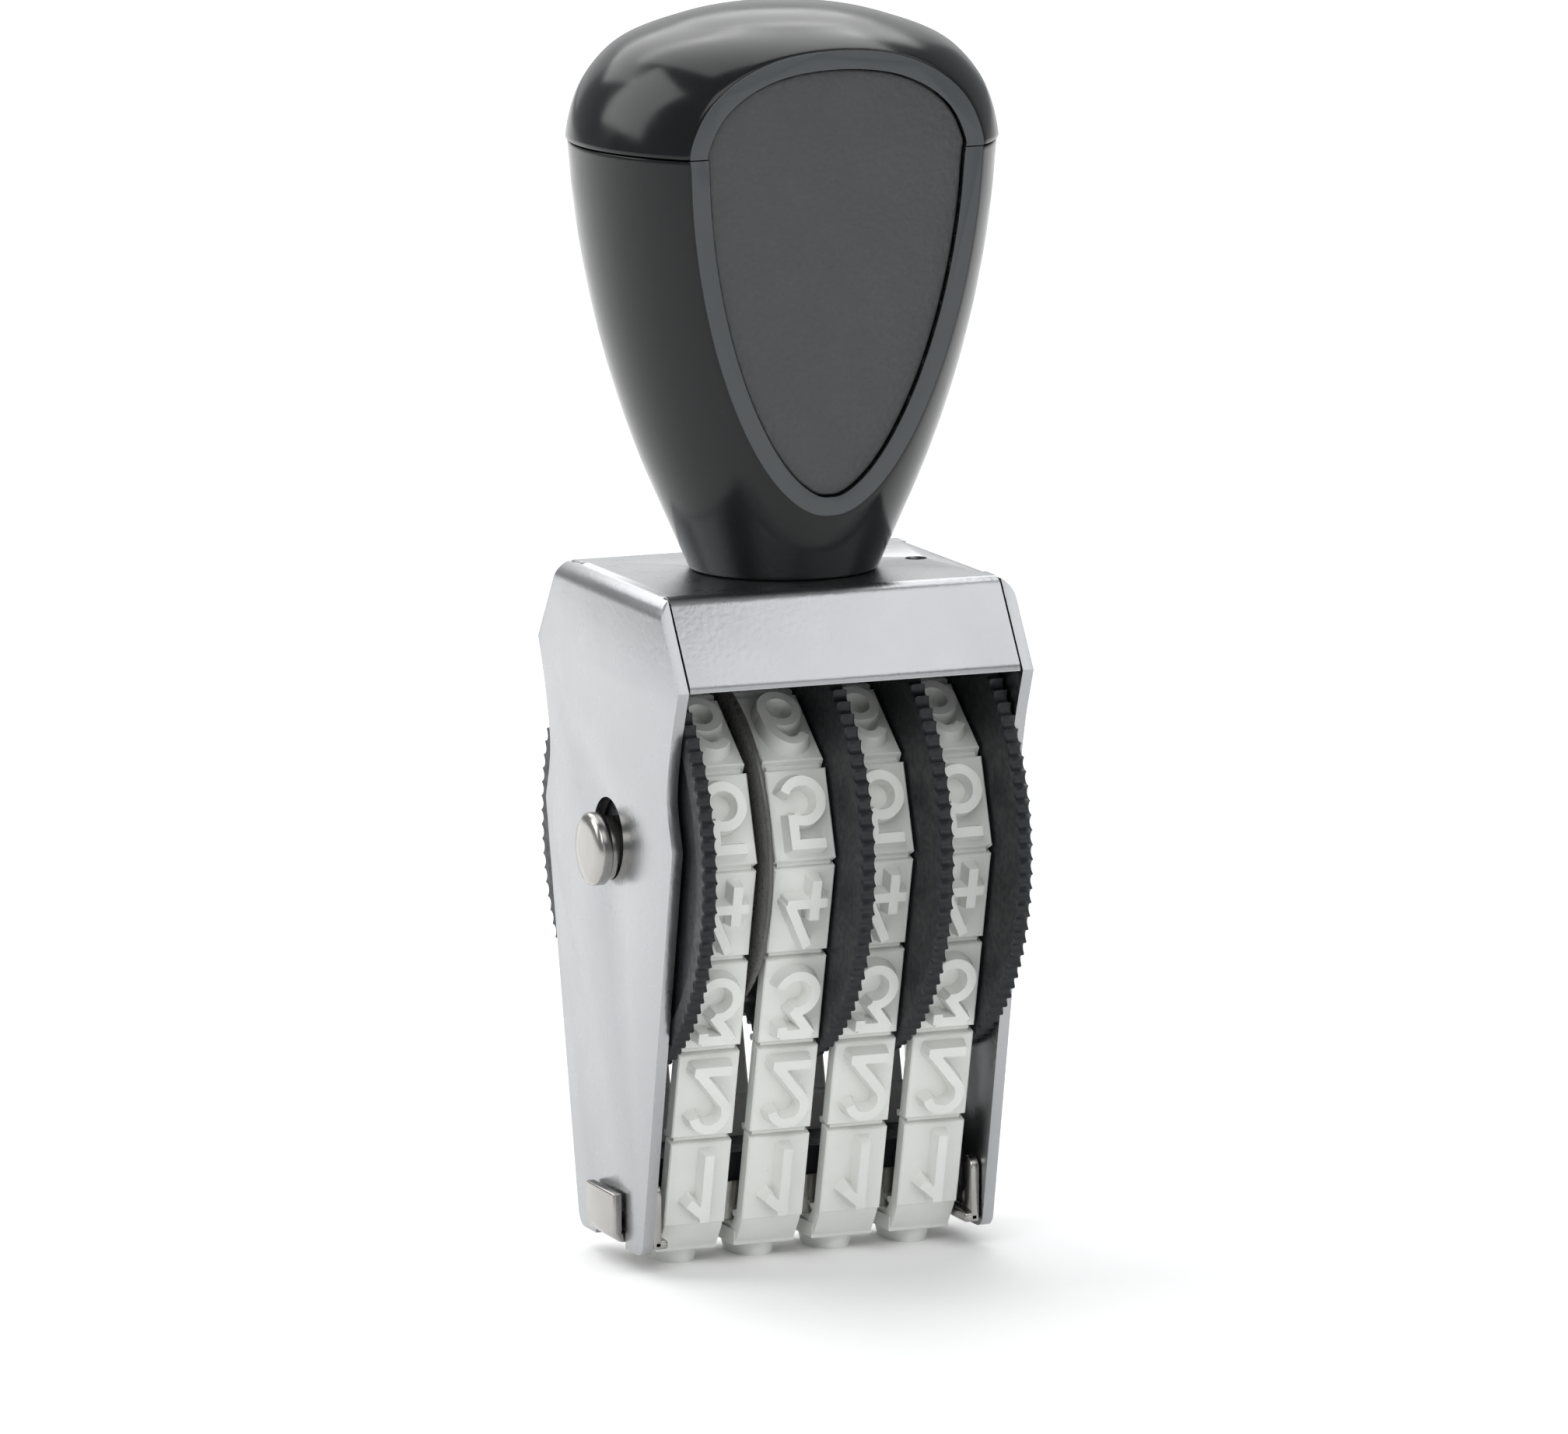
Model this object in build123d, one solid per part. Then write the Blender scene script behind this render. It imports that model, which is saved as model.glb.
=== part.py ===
"""Hand numbering stamp: four character bands on knurled thumb wheels in a bent sheet frame.

Units are millimetres. +Z is up and -Y is the front. The origin is on the printing plane,
midway between the side plates, straight below the axle.
"""

import math
import os

from build123d import *

# Frame: one bent sheet
SHEET = 1.4
FRAME_HALF_WIDTH = 23.0
PLATE_TOP = 84.2
PLATE_BOTTOM = 2.5
TOP_HALF_DEPTH = 16.5
LIP_HALF_DEPTH = 23.5
LIP_BOTTOM = 73.7
WAIST_HALF_DEPTH = 19.6
WAIST_HEIGHT = 60.0
SHOULDER_HALF_DEPTH = 21.2
SHOULDER_HEIGHT = 54.0
FOOT_HALF_DEPTH = 10.5
BEND_RADIUS = 2.6
LIP_SEAM = 0.25
PEEP_HOLE_RADIUS = 1.35
PEEP_HOLE_X = 17.4

# Axle and its holes
AXLE_HEIGHT = 51.2
AXLE_RADIUS = 3.9
AXLE_HEAD_RADIUS = 4.45
AXLE_END = 26.0
AXLE_HEAD_THICKNESS = 2.0
AXLE_HOLE_RADIUS = 5.05

# Thumb wheels
RIM_RADIUS = 27.6
RIM_WIDTH = 1.75
TOOTH_COUNT = 96
TOOTH_DEPTH = 0.75
FACE_RECESS = 0.4
RECESS_OUTER_RADIUS = 24.6
DRUM_RADIUS = 15.65
BORE_RADIUS = AXLE_RADIUS + 0.05
HUB_GAP = 0.13

# Character bands
BAND_PITCH_X = 10.2
BAND_WIDTH = 7.9
TILE_TURN = 36.0
TILE_PITCH = 11.85
TILE_LENGTH = 10.95
TILE_THICKNESS = 2.9
WEB_THICKNESS = 1.6
BAND_RADIUS = 18.85
RUN_LEAN = 13.8
RELIEF = 1.8
STROKE = 1.2

# Separator disc
DISC_RADIUS = 21.2
DISC_THICKNESS = 0.8

# Anvil
ANVIL_SHEET = 1.2
ANVIL_BOTTOM = RELIEF + TILE_THICKNESS + 0.05
ANVIL_HALF_WIDTH = 4.5
ANVIL_FLANGE_TOP = 10.0
ANVIL_HALF_LENGTH = 20.9
CORE_TOP = 13.2
STRAP_BOTTOM = 3.2
EAR_HALF_WIDTH = 4.65
EAR_TOP = 9.3
EAR_GAP = 0.25
TAB_HALF_DEPTH = 10.3
TAB_WIDTH = 3.0
TAB_TOP = 11.3

# Handle
HANDLE_BASE = PLATE_TOP
SEAM_HEIGHT = HANDLE_BASE + 52.6
HANDLE_TOP = HANDLE_BASE + 69.0
KNOB_RADIUS = 26.2
BODY_RADIUS = 25.95
FOOT_RADIUS = 11.4
FLAT_DEPTH = 17.8
FLAT_TILT = 3.55
BADGE_THICKNESS = 1.3
RING_WIDTH = 2.35
RING_RISE = 0.45
SEAM_GAP = 0.15
SCREW_RADIUS = 2.5
SCREW_HEAD_RADIUS = 4.6
SCREW_REACH = 16.0
BOSS_RADIUS = 4.2

LEFT_AND_RIGHT = (-1, 1)
FRONT_AND_REAR = (-1, 1)


def along_x(sketch_yz, x_low, x_high):
    """Prism of an outline drawn as (y, z), running from x_low to x_high."""
    outline = Plane.YZ.offset(x_low) * sketch_yz
    return extrude(outline, x_high - x_low)


def disc_x(radius, x_low, x_high, height=AXLE_HEIGHT):
    """Round disc about an axis along X."""
    return along_x(Pos(0, height) * Circle(radius), x_low, x_high)


def block(x_range, y_range, z_range):
    """Box between two corners."""
    sizes = [high - low for low, high in (x_range, y_range, z_range)]
    middle = [(high + low) / 2 for low, high in (x_range, y_range, z_range)]
    return Pos(*middle) * Box(*sizes)


# ---------------------------------------------------------------- frame


def side_outline():
    """Half-symmetric outline of a side plate, with a hollow waist under the lip."""
    right_side = [
        Line((0, PLATE_TOP), (TOP_HALF_DEPTH, PLATE_TOP)),
        Line((TOP_HALF_DEPTH, PLATE_TOP), (LIP_HALF_DEPTH, LIP_BOTTOM)),
        Spline(
            (LIP_HALF_DEPTH, LIP_BOTTOM),
            (WAIST_HALF_DEPTH + 1.2, WAIST_HEIGHT + 6.5),
            (WAIST_HALF_DEPTH, WAIST_HEIGHT),
            (SHOULDER_HALF_DEPTH, SHOULDER_HEIGHT),
        ),
        Line((SHOULDER_HALF_DEPTH, SHOULDER_HEIGHT), (FOOT_HALF_DEPTH, PLATE_BOTTOM)),
        Line((FOOT_HALF_DEPTH, PLATE_BOTTOM), (0, PLATE_BOTTOM)),
        Line((0, PLATE_BOTTOM), (0, PLATE_TOP)),
    ]
    half = make_face(Curve() + right_side)
    return half + mirror(half, Plane.YZ)


def lip(side):
    """Slanted strip bent down from the front or rear edge of the top plate."""
    slant = math.atan2(LIP_HALF_DEPTH - TOP_HALF_DEPTH, PLATE_TOP - LIP_BOTTOM)
    inward = SHEET / math.cos(slant)
    outline = Polyline(
        (side * (TOP_HALF_DEPTH - inward - SHEET), PLATE_TOP),
        (side * TOP_HALF_DEPTH, PLATE_TOP),
        (side * LIP_HALF_DEPTH, LIP_BOTTOM),
        (side * (LIP_HALF_DEPTH - inward), LIP_BOTTOM),
        (side * (TOP_HALF_DEPTH - inward), PLATE_TOP - SHEET),
        (side * (TOP_HALF_DEPTH - inward - SHEET), PLATE_TOP - SHEET),
        close=True,
    )
    reach = FRAME_HALF_WIDTH - SHEET - LIP_SEAM
    return along_x(make_face(outline), -reach, reach)


def frame_shell():
    """Top plate and two side plates from one sheet, with lips, axle holes and strap notches."""
    height = PLATE_TOP - PLATE_BOTTOM + BEND_RADIUS
    outer = RectangleRounded(2 * FRAME_HALF_WIDTH, 2 * height, BEND_RADIUS)
    inner = RectangleRounded(
        2 * (FRAME_HALF_WIDTH - SHEET), 2 * (height - SHEET), BEND_RADIUS - SHEET
    )
    depth = 2 * LIP_HALF_DEPTH + 2
    bent = extrude(Plane.XZ.offset(-depth / 2) * (outer - inner), depth)
    bent = Pos(0, 0, PLATE_TOP - height) * bent
    profile = along_x(side_outline(), -FRAME_HALF_WIDTH - 1, FRAME_HALF_WIDTH + 1)
    shell = bent & profile
    for side in FRONT_AND_REAR:
        shell += lip(side)
    hole_height = AXLE_HEIGHT + AXLE_HOLE_RADIUS - AXLE_RADIUS
    shell -= disc_x(AXLE_HOLE_RADIUS, -30, 30, hole_height)
    notch = (EAR_HALF_WIDTH + 0.35) * 2
    shell -= Pos(0, 0, STRAP_BOTTOM) * Box(60, notch, 2 * ANVIL_SHEET + 0.5)
    shell -= Pos(PEEP_HOLE_X, 0, PLATE_TOP) * Cylinder(PEEP_HOLE_RADIUS, 6)
    shell -= Pos(0, 0, PLATE_TOP) * Cylinder(SCREW_RADIUS + 0.2, 6)
    foot_edges = [
        edge
        for edge in shell.edges().filter_by(Axis.X)
        if abs(abs(edge.center().Y) - FOOT_HALF_DEPTH) < 0.1 and edge.center().Z < 3
    ]
    return fillet(foot_edges, 2.0)


# ---------------------------------------------------------------- axle and wheels


def axle():
    """Headed pin whose neck rests on the bottom of both side-plate holes."""
    pin = disc_x(AXLE_RADIUS, -AXLE_END + 0.5, AXLE_END - 0.5)
    for side in LEFT_AND_RIGHT:
        inner_face = side * (AXLE_END - AXLE_HEAD_THICKNESS)
        outer_face = side * AXLE_END
        low, high = sorted((inner_face, outer_face))
        head = disc_x(AXLE_HEAD_RADIUS, low, high)
        rim = head.edges().filter_by(GeomType.CIRCLE).sort_by(Axis.X)
        head = chamfer(rim[-1] if side > 0 else rim[0], 0.45)
        pin += head
    return pin


def knurled_rim(x_low, x_high):
    """Rim whose edge is a ring of concave scallops between sharp teeth."""
    rim = disc_x(RIM_RADIUS, x_low, x_high)
    gap = 2 * math.pi * RIM_RADIUS / TOOTH_COUNT
    scallop_radius = (gap**2 / 4 + TOOTH_DEPTH**2) / (2 * TOOTH_DEPTH) * 0.92
    cutters = Sketch()
    for index in range(TOOTH_COUNT):
        angle = math.radians(index * 360 / TOOTH_COUNT)
        reach = RIM_RADIUS - TOOTH_DEPTH + scallop_radius
        place = Pos(reach * math.cos(angle), AXLE_HEIGHT + reach * math.sin(angle))
        cutters += place * Circle(scallop_radius)
    return rim - along_x(cutters, x_low - 1, x_high + 1)


def thumb_wheel(rim_x, drum_end_x):
    """Knurled flange with a smooth drum beside it, which carries one band."""
    rim_low, rim_high = rim_x - RIM_WIDTH / 2, rim_x + RIM_WIDTH / 2
    wheel = knurled_rim(rim_low, rim_high)
    low, high = sorted((drum_end_x, rim_x))
    wheel += disc_x(DRUM_RADIUS, low, high)
    outer_face = rim_high if rim_x > drum_end_x else rim_low
    away = 1 if rim_x > drum_end_x else -1
    groove_low, groove_high = sorted((outer_face - away * FACE_RECESS, outer_face + away))
    groove = disc_x(RECESS_OUTER_RADIUS, groove_low, groove_high)
    groove -= disc_x(DRUM_RADIUS, groove_low, groove_high)
    wheel -= groove
    return wheel - disc_x(BORE_RADIUS, -40, 40)


def separator_disc():
    """Thin loose disc with rounded edges between the first two bands."""
    disc = disc_x(
        DISC_RADIUS, -BAND_PITCH_X - DISC_THICKNESS / 2, -BAND_PITCH_X + DISC_THICKNESS / 2
    )
    disc = fillet(disc.edges(), DISC_THICKNESS * 0.4)
    return disc - disc_x(BORE_RADIUS, -40, 40)


# ---------------------------------------------------------------- character bands


def tile_places():
    """Centre of each tile's outer face and its outward normal, as (forward, up) pairs."""
    lean = math.radians(RUN_LEAN)
    tangent = (
        BAND_RADIUS * math.cos(lean),
        AXLE_HEIGHT - BAND_RADIUS * math.sin(lean),
    )
    wheel_end = math.radians(2 * TILE_TURN)
    first_on_run = TILE_PITCH - BAND_RADIUS * (math.pi / 2 + lean - wheel_end)
    half = [((0, RELIEF), (0, -1))]
    for index in range(1, 5):
        travel = first_on_run + (4 - index) * TILE_PITCH
        centre = (
            tangent[0] - travel * math.sin(lean),
            tangent[1] - travel * math.cos(lean),
        )
        half.append((centre, (math.cos(lean), -math.sin(lean))))
    for index in range(5, 8):
        angle = math.radians((7 - index) * TILE_TURN)
        normal = (math.sin(angle), math.cos(angle))
        centre = (BAND_RADIUS * normal[0], AXLE_HEIGHT + BAND_RADIUS * normal[1])
        half.append((centre, normal))
    rear = [((-c[0], c[1]), (-n[0], n[1])) for c, n in reversed(half[1:7])]
    return half + rear


def meeting_point(first, second, depth):
    """Where two tile faces, each pushed inward by depth, cross."""
    (first_centre, first_normal), (second_centre, second_normal) = first, second
    reach = [
        sum(c * n for c, n in zip(centre, normal)) - depth
        for centre, normal in ((first_centre, first_normal), (second_centre, second_normal))
    ]
    cross = first_normal[0] * second_normal[1] - first_normal[1] * second_normal[0]
    forward = (reach[0] * second_normal[1] - reach[1] * first_normal[1]) / cross
    up = (first_normal[0] * reach[1] - second_normal[0] * reach[0]) / cross
    return (-forward, up)


def loop_outline(places, depth):
    """Closed outline of the band's loop at a depth below the tile faces."""
    facets = [places[0]] + places[4:11]
    corners = [
        meeting_point(facet, facets[(index + 1) % len(facets)], depth)
        for index, facet in enumerate(facets)
    ]
    return make_face(Polyline(*corners, close=True))


def line_stroke(start, end):
    """Straight stroke of a character, with round ends."""
    length = math.dist(start, end)
    angle = math.degrees(math.atan2(end[1] - start[1], end[0] - start[0]))
    middle = Pos((start[0] + end[0]) / 2, (start[1] + end[1]) / 2)
    return middle * Rot(0, 0, angle) * SlotCenterToCenter(length, STROKE)


def arc_stroke(centre, radius, start_angle, sweep):
    """Curved stroke of a character, with round ends."""
    ring = Circle(radius + STROKE / 2) - Circle(radius - STROKE / 2)
    if abs(sweep) < 360:
        reach = 3 * radius
        steps = max(2, math.ceil(abs(sweep) / 60))
        fan = [(0, 0)]
        for step in range(steps + 1):
            angle = math.radians(start_angle + sweep * step / steps)
            fan.append((reach * math.cos(angle), reach * math.sin(angle)))
        ring &= make_face(Polyline(*fan, close=True))
        for angle in (start_angle, start_angle + sweep):
            turn = math.radians(angle)
            ring += Pos(radius * math.cos(turn), radius * math.sin(turn)) * Circle(STROKE / 2)
    return Pos(*centre) * ring


TOP, BOTTOM, SIDE = 3.85, -3.85, 2.1


def characters():
    """Outline of every character, upright and readable, in band order from the foot."""
    zero = [
        line_stroke((-SIDE, -1.75), (-SIDE, 1.75)),
        line_stroke((SIDE, -1.75), (SIDE, 1.75)),
        arc_stroke((0, 1.75), SIDE, 0, 180),
        arc_stroke((0, -1.75), SIDE, 180, 180),
    ]
    one = [line_stroke((0.5, BOTTOM), (0.5, TOP)), line_stroke((0.5, TOP), (-1.4, 2.1))]
    two = [
        arc_stroke((0, 1.75), SIDE, -35, 205),
        line_stroke((1.72, 0.55), (-SIDE, BOTTOM)),
        line_stroke((-SIDE, BOTTOM), (SIDE, BOTTOM)),
    ]
    three = [
        line_stroke((-1.8, TOP), (1.9, TOP)),
        line_stroke((1.9, TOP), (-0.3, 0.85)),
        arc_stroke((-0.15, -1.5), 2.35, 95, -260),
    ]
    four = [
        line_stroke((0.4, TOP), (-2.2, -1.5)),
        line_stroke((-2.2, -1.5), (2.2, -1.5)),
        line_stroke((1.0, 0.4), (1.0, BOTTOM)),
    ]
    five = [
        line_stroke((-1.6, TOP), (1.9, TOP)),
        line_stroke((-1.6, TOP), (-1.6, 0.5)),
        arc_stroke((-0.2, -1.45), 2.4, 125, -275),
    ]
    six = [
        arc_stroke((0, -1.7), 2.15, 0, 360),
        line_stroke((-2.15, -1.7), (-2.15, 1.7)),
        arc_stroke((0, 1.7), 2.15, 180, -150),
    ]
    seven = [line_stroke((-SIDE, TOP), (SIDE, TOP)), line_stroke((SIDE, TOP), (-0.7, BOTTOM))]
    eight = [arc_stroke((0, 1.95), 1.9, 0, 360), arc_stroke((0, -1.7), 2.15, 0, 360)]
    nine = [Rot(0, 0, 180) * stroke for stroke in six]
    dash = [line_stroke((-1.8, 0), (1.8, 0))]
    slash = [line_stroke((-1.6, BOTTOM), (1.6, TOP))]
    point = [Pos(0, BOTTOM + 0.3) * Circle(0.9)]
    digits = [zero, one, two, three, four, five, six, seven, eight, nine]
    return digits + [dash, slash, point]


def character_band():
    """Endless rubber band: thin web, flat tiles and one raised character on each tile."""
    places = tile_places()
    ring = loop_outline(places, TILE_THICKNESS - WEB_THICKNESS)
    ring -= loop_outline(places, TILE_THICKNESS)
    band = along_x(ring, -BAND_WIDTH / 2, BAND_WIDTH / 2)
    tile_depth = TILE_THICKNESS - WEB_THICKNESS / 2
    blank = Pos(0, 0, -tile_depth / 2) * Box(BAND_WIDTH, TILE_LENGTH, tile_depth)
    shapes = characters()
    for index, ((forward, up), (normal_forward, normal_up)) in enumerate(places):
        face = Plane(
            origin=(0, -forward, up), x_dir=(1, 0, 0), z_dir=(0, -normal_forward, normal_up)
        )
        band += face.location * blank
        if index < len(shapes):
            for stroke in shapes[index]:
                flipped = mirror(stroke, Plane.XZ)
                raised = extrude(flipped, RELIEF + 0.3, dir=(0, 0, 1))
                band += face.location * Pos(0, 0, -0.3) * raised
    return band


# ---------------------------------------------------------------- anvil


def anvil_channel():
    """Bent metal channel under the bands, with straps that fold up outside the side plates."""
    lean = math.radians(RUN_LEAN)
    web_top = ANVIL_BOTTOM + ANVIL_SHEET
    channel = block(
        (-ANVIL_HALF_LENGTH, ANVIL_HALF_LENGTH),
        (-ANVIL_HALF_WIDTH, ANVIL_HALF_WIDTH),
        (ANVIL_BOTTOM, web_top),
    )
    rise = ANVIL_FLANGE_TOP - ANVIL_BOTTOM
    spread = rise * math.tan(lean)
    inset = ANVIL_SHEET / math.cos(lean)
    for side in FRONT_AND_REAR:
        flange = Polyline(
            (side * ANVIL_HALF_WIDTH, ANVIL_BOTTOM),
            (side * (ANVIL_HALF_WIDTH + spread), ANVIL_FLANGE_TOP),
            (side * (ANVIL_HALF_WIDTH + spread - inset), ANVIL_FLANGE_TOP),
            (side * (ANVIL_HALF_WIDTH - inset), ANVIL_BOTTOM),
            close=True,
        )
        reach = 2 * BAND_PITCH_X - 1.1
        channel += along_x(make_face(flange), -reach, reach)
    inner_wall = FRAME_HALF_WIDTH - SHEET - 0.2
    ear_inner = FRAME_HALF_WIDTH + EAR_GAP
    ear_outer = ear_inner + ANVIL_SHEET
    strap_top = STRAP_BOTTOM + ANVIL_SHEET
    for side in LEFT_AND_RIGHT:
        jog = sorted((side * 19.6, side * ANVIL_HALF_LENGTH))
        channel += block(jog, (-ANVIL_HALF_WIDTH, ANVIL_HALF_WIDTH), (STRAP_BOTTOM, web_top))
        strap = sorted((side * 19.6, side * ear_outer))
        ear = sorted((side * ear_inner, side * ear_outer))
        ear_span = (-EAR_HALF_WIDTH, EAR_HALF_WIDTH)
        fold = block(strap, ear_span, (STRAP_BOTTOM, strap_top))
        fold += block(ear, ear_span, (STRAP_BOTTOM, EAR_TOP))
        outer_bend = fold.edges().filter_by(Axis.Y).sort_by(Axis.Z)[:4]
        outer_bend = outer_bend.sort_by(lambda edge: -side * edge.center().X)[0]
        channel += fillet(outer_bend, ANVIL_SHEET)
        foot = sorted((side * 19.6, side * inner_wall))
        tab = sorted((side * (inner_wall - ANVIL_SHEET + 0.1), side * inner_wall))
        channel += block(foot, (-TAB_HALF_DEPTH, TAB_HALF_DEPTH), (STRAP_BOTTOM, strap_top))
        for end in FRONT_AND_REAR:
            span = sorted((end * TAB_HALF_DEPTH, end * (TAB_HALF_DEPTH - TAB_WIDTH)))
            channel += block(tab, span, (STRAP_BOTTOM, TAB_TOP))
    return channel


def anvil_core():
    """Solid block pressed into the channel, which backs the printing tiles."""
    bottom = ANVIL_BOTTOM + ANVIL_SHEET
    spread = math.tan(math.radians(RUN_LEAN))
    inset = ANVIL_SHEET / math.cos(math.radians(RUN_LEAN)) + 0.02
    low = ANVIL_HALF_WIDTH + (bottom - ANVIL_BOTTOM) * spread - inset
    high = ANVIL_HALF_WIDTH + (ANVIL_FLANGE_TOP - ANVIL_BOTTOM) * spread - inset
    outline = Polyline(
        (-low, bottom),
        (low, bottom),
        (high, ANVIL_FLANGE_TOP),
        (high, CORE_TOP),
        (-high, CORE_TOP),
        (-high, ANVIL_FLANGE_TOP),
        close=True,
    )
    return along_x(make_face(outline), -ANVIL_HALF_LENGTH + 0.3, ANVIL_HALF_LENGTH - 0.3)


# ---------------------------------------------------------------- handle


def knob():
    """Round knob: narrow foot, flaring body, widest at the parting line, domed top."""
    foot = (FOOT_RADIUS, HANDLE_BASE)
    seam = (BODY_RADIUS, SEAM_HEIGHT)
    shoulder = (KNOB_RADIUS, SEAM_HEIGHT)
    outline = [
        Spline(
            foot,
            (17.6, HANDLE_BASE + 14.3),
            (22.6, HANDLE_BASE + 30.3),
            (25.3, HANDLE_BASE + 45.5),
            seam,
        ),
        Line(seam, shoulder),
        Spline(
            shoulder,
            (24.2, HANDLE_BASE + 59.6),
            (20.9, HANDLE_BASE + 63.6),
            (13.0, HANDLE_BASE + 67.2),
            (0, HANDLE_TOP),
            tangents=[(-0.12, 1), (-1, 0)],
        ),
        Line((0, HANDLE_TOP), (0, HANDLE_BASE)),
        Line((0, HANDLE_BASE), foot),
    ]
    return revolve(Plane.XZ * make_face(Curve() + outline), Axis.Z)


def flat_plane(side):
    """Slightly tilted plane of the front or rear face; its normal points outward."""
    tilt = math.radians(FLAT_TILT)
    origin = (0, side * FLAT_DEPTH, SEAM_HEIGHT)
    return Plane(origin=origin, x_dir=(1, 0, 0), z_dir=(0, side * math.cos(tilt), -math.sin(tilt)))


def beyond(plane, thickness, half_size=60):
    """Slab that begins at a height above a plane and runs outward."""
    slab = Box(2 * half_size, 2 * half_size, thickness)
    return plane.location * Pos(0, 0, thickness / 2) * slab


def inset_outline(flat, plane, inset):
    """Smooth closed outline that runs a set distance inside the edge of a flat face."""
    wire = flat.outer_wire()
    count = 28
    points = []
    for index in range(count):
        share = index / count
        inward = plane.z_dir.cross(wire % share)
        if inward.dot(flat.center() - (wire @ share)) < 0:
            inward = -inward
        points.append((wire @ share) + inward.normalized() * inset)
    return make_face(Spline(*points, periodic=True))


def handle_parts():
    """Handle body and cap, parted at the seam, and the two plaques in their pockets."""
    whole = knob()
    planes = {"front": flat_plane(-1), "rear": flat_plane(1)}
    for plane in planes.values():
        whole -= beyond(plane, 20)
    plaques = {}
    for end, plane in planes.items():
        flat = whole.faces().filter_by(GeomType.PLANE)
        flat = flat.sort_by(lambda face: (face.center() - plane.origin).length)[0]
        outline = inset_outline(flat, plane, RING_WIDTH)
        pocket = extrude(outline, BADGE_THICKNESS + RING_RISE, dir=-plane.z_dir)
        whole -= pocket
        inner = inset_outline(flat, plane, RING_WIDTH + 0.1)
        sunk = -plane.z_dir * RING_RISE
        plaques[end] = Pos(sunk) * extrude(inner, BADGE_THICKNESS, dir=-plane.z_dir)
    body = whole & block((-40, 40), (-40, 40), (HANDLE_BASE, SEAM_HEIGHT - SEAM_GAP / 2))
    cap = whole & block((-40, 40), (-40, 40), (SEAM_HEIGHT + SEAM_GAP / 2, HANDLE_TOP + 1))
    insert = Pos(0, 0, HANDLE_BASE + SCREW_REACH / 2) * Cylinder(BOSS_RADIUS, SCREW_REACH)
    return body - insert, cap, plaques


def handle_boss():
    """Threaded insert inside the foot of the handle."""
    boss = Pos(0, 0, HANDLE_BASE + SCREW_REACH / 2) * Cylinder(BOSS_RADIUS, SCREW_REACH)
    return boss - Pos(0, 0, HANDLE_BASE + SCREW_REACH / 2) * Cylinder(SCREW_RADIUS, SCREW_REACH)


def handle_screw():
    """Pan-head screw that comes up through the top plate into the insert."""
    under_plate = PLATE_TOP - SHEET - 0.8
    shank = Pos(0, 0, (under_plate + HANDLE_BASE + SCREW_REACH - 1) / 2) * Cylinder(
        SCREW_RADIUS, HANDLE_BASE + SCREW_REACH - 1 - under_plate
    )
    head = Pos(0, 0, under_plate - 1.1) * Cylinder(SCREW_HEAD_RADIUS, 2.2)
    slot = Pos(0, 0, under_plate - 2.2) * Box(12, 1.2, 1.6)
    return shank + head - slot


def screw_washer():
    """Plain washer between the screw head and the top plate."""
    washer = Cylinder(5.6, 0.8) - Cylinder(SCREW_RADIUS + 0.2, 0.8)
    return Pos(0, 0, PLATE_TOP - SHEET - 0.4) * washer


def all_nodes():
    """Every node of the stamp by name."""
    body, cap, plaques = handle_parts()
    nodes = {
        "frame_shell": frame_shell(),
        "axle": axle(),
        "separator_disc": separator_disc(),
        "anvil_channel": anvil_channel(),
        "anvil_core": anvil_core(),
        "handle_body": body,
        "handle_cap": cap,
        "front_badge": plaques["front"],
        "rear_badge": plaques["rear"],
        "handle_boss": handle_boss(),
        "handle_screw": handle_screw(),
        "screw_washer": screw_washer(),
    }
    band = character_band()
    for index in range(4):
        nodes[f"band_{index + 1}"] = Pos((index - 1.5) * BAND_PITCH_X, 0, 0) * band
    outer_rim = FRAME_HALF_WIDTH - SHEET - 0.3 - RIM_WIDTH / 2
    disc_face = BAND_PITCH_X + DISC_THICKNESS / 2 + HUB_GAP
    nodes["thumb_wheel_1"] = thumb_wheel(-outer_rim, -disc_face)
    nodes["thumb_wheel_2"] = thumb_wheel(0, -BAND_PITCH_X + DISC_THICKNESS / 2 + HUB_GAP)
    nodes["thumb_wheel_3"] = thumb_wheel(BAND_PITCH_X, RIM_WIDTH / 2 + HUB_GAP)
    nodes["thumb_wheel_4"] = thumb_wheel(outer_rim, BAND_PITCH_X + RIM_WIDTH / 2 + HUB_GAP)
    return nodes


os.makedirs("parts", exist_ok=True)
for node_name, solid in all_nodes().items():
    export_step(solid, f"parts/{node_name}.step")
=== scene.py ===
"""Hand numbering stamp: the looks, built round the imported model.

Shapes are worked out in millimetres in the model's own frame and turned into metres
when a mesh is made. +Z is up and -Y is the front.
"""

import math

import bmesh
import bpy
import numpy as np
from mathutils import Matrix, Vector


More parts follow.
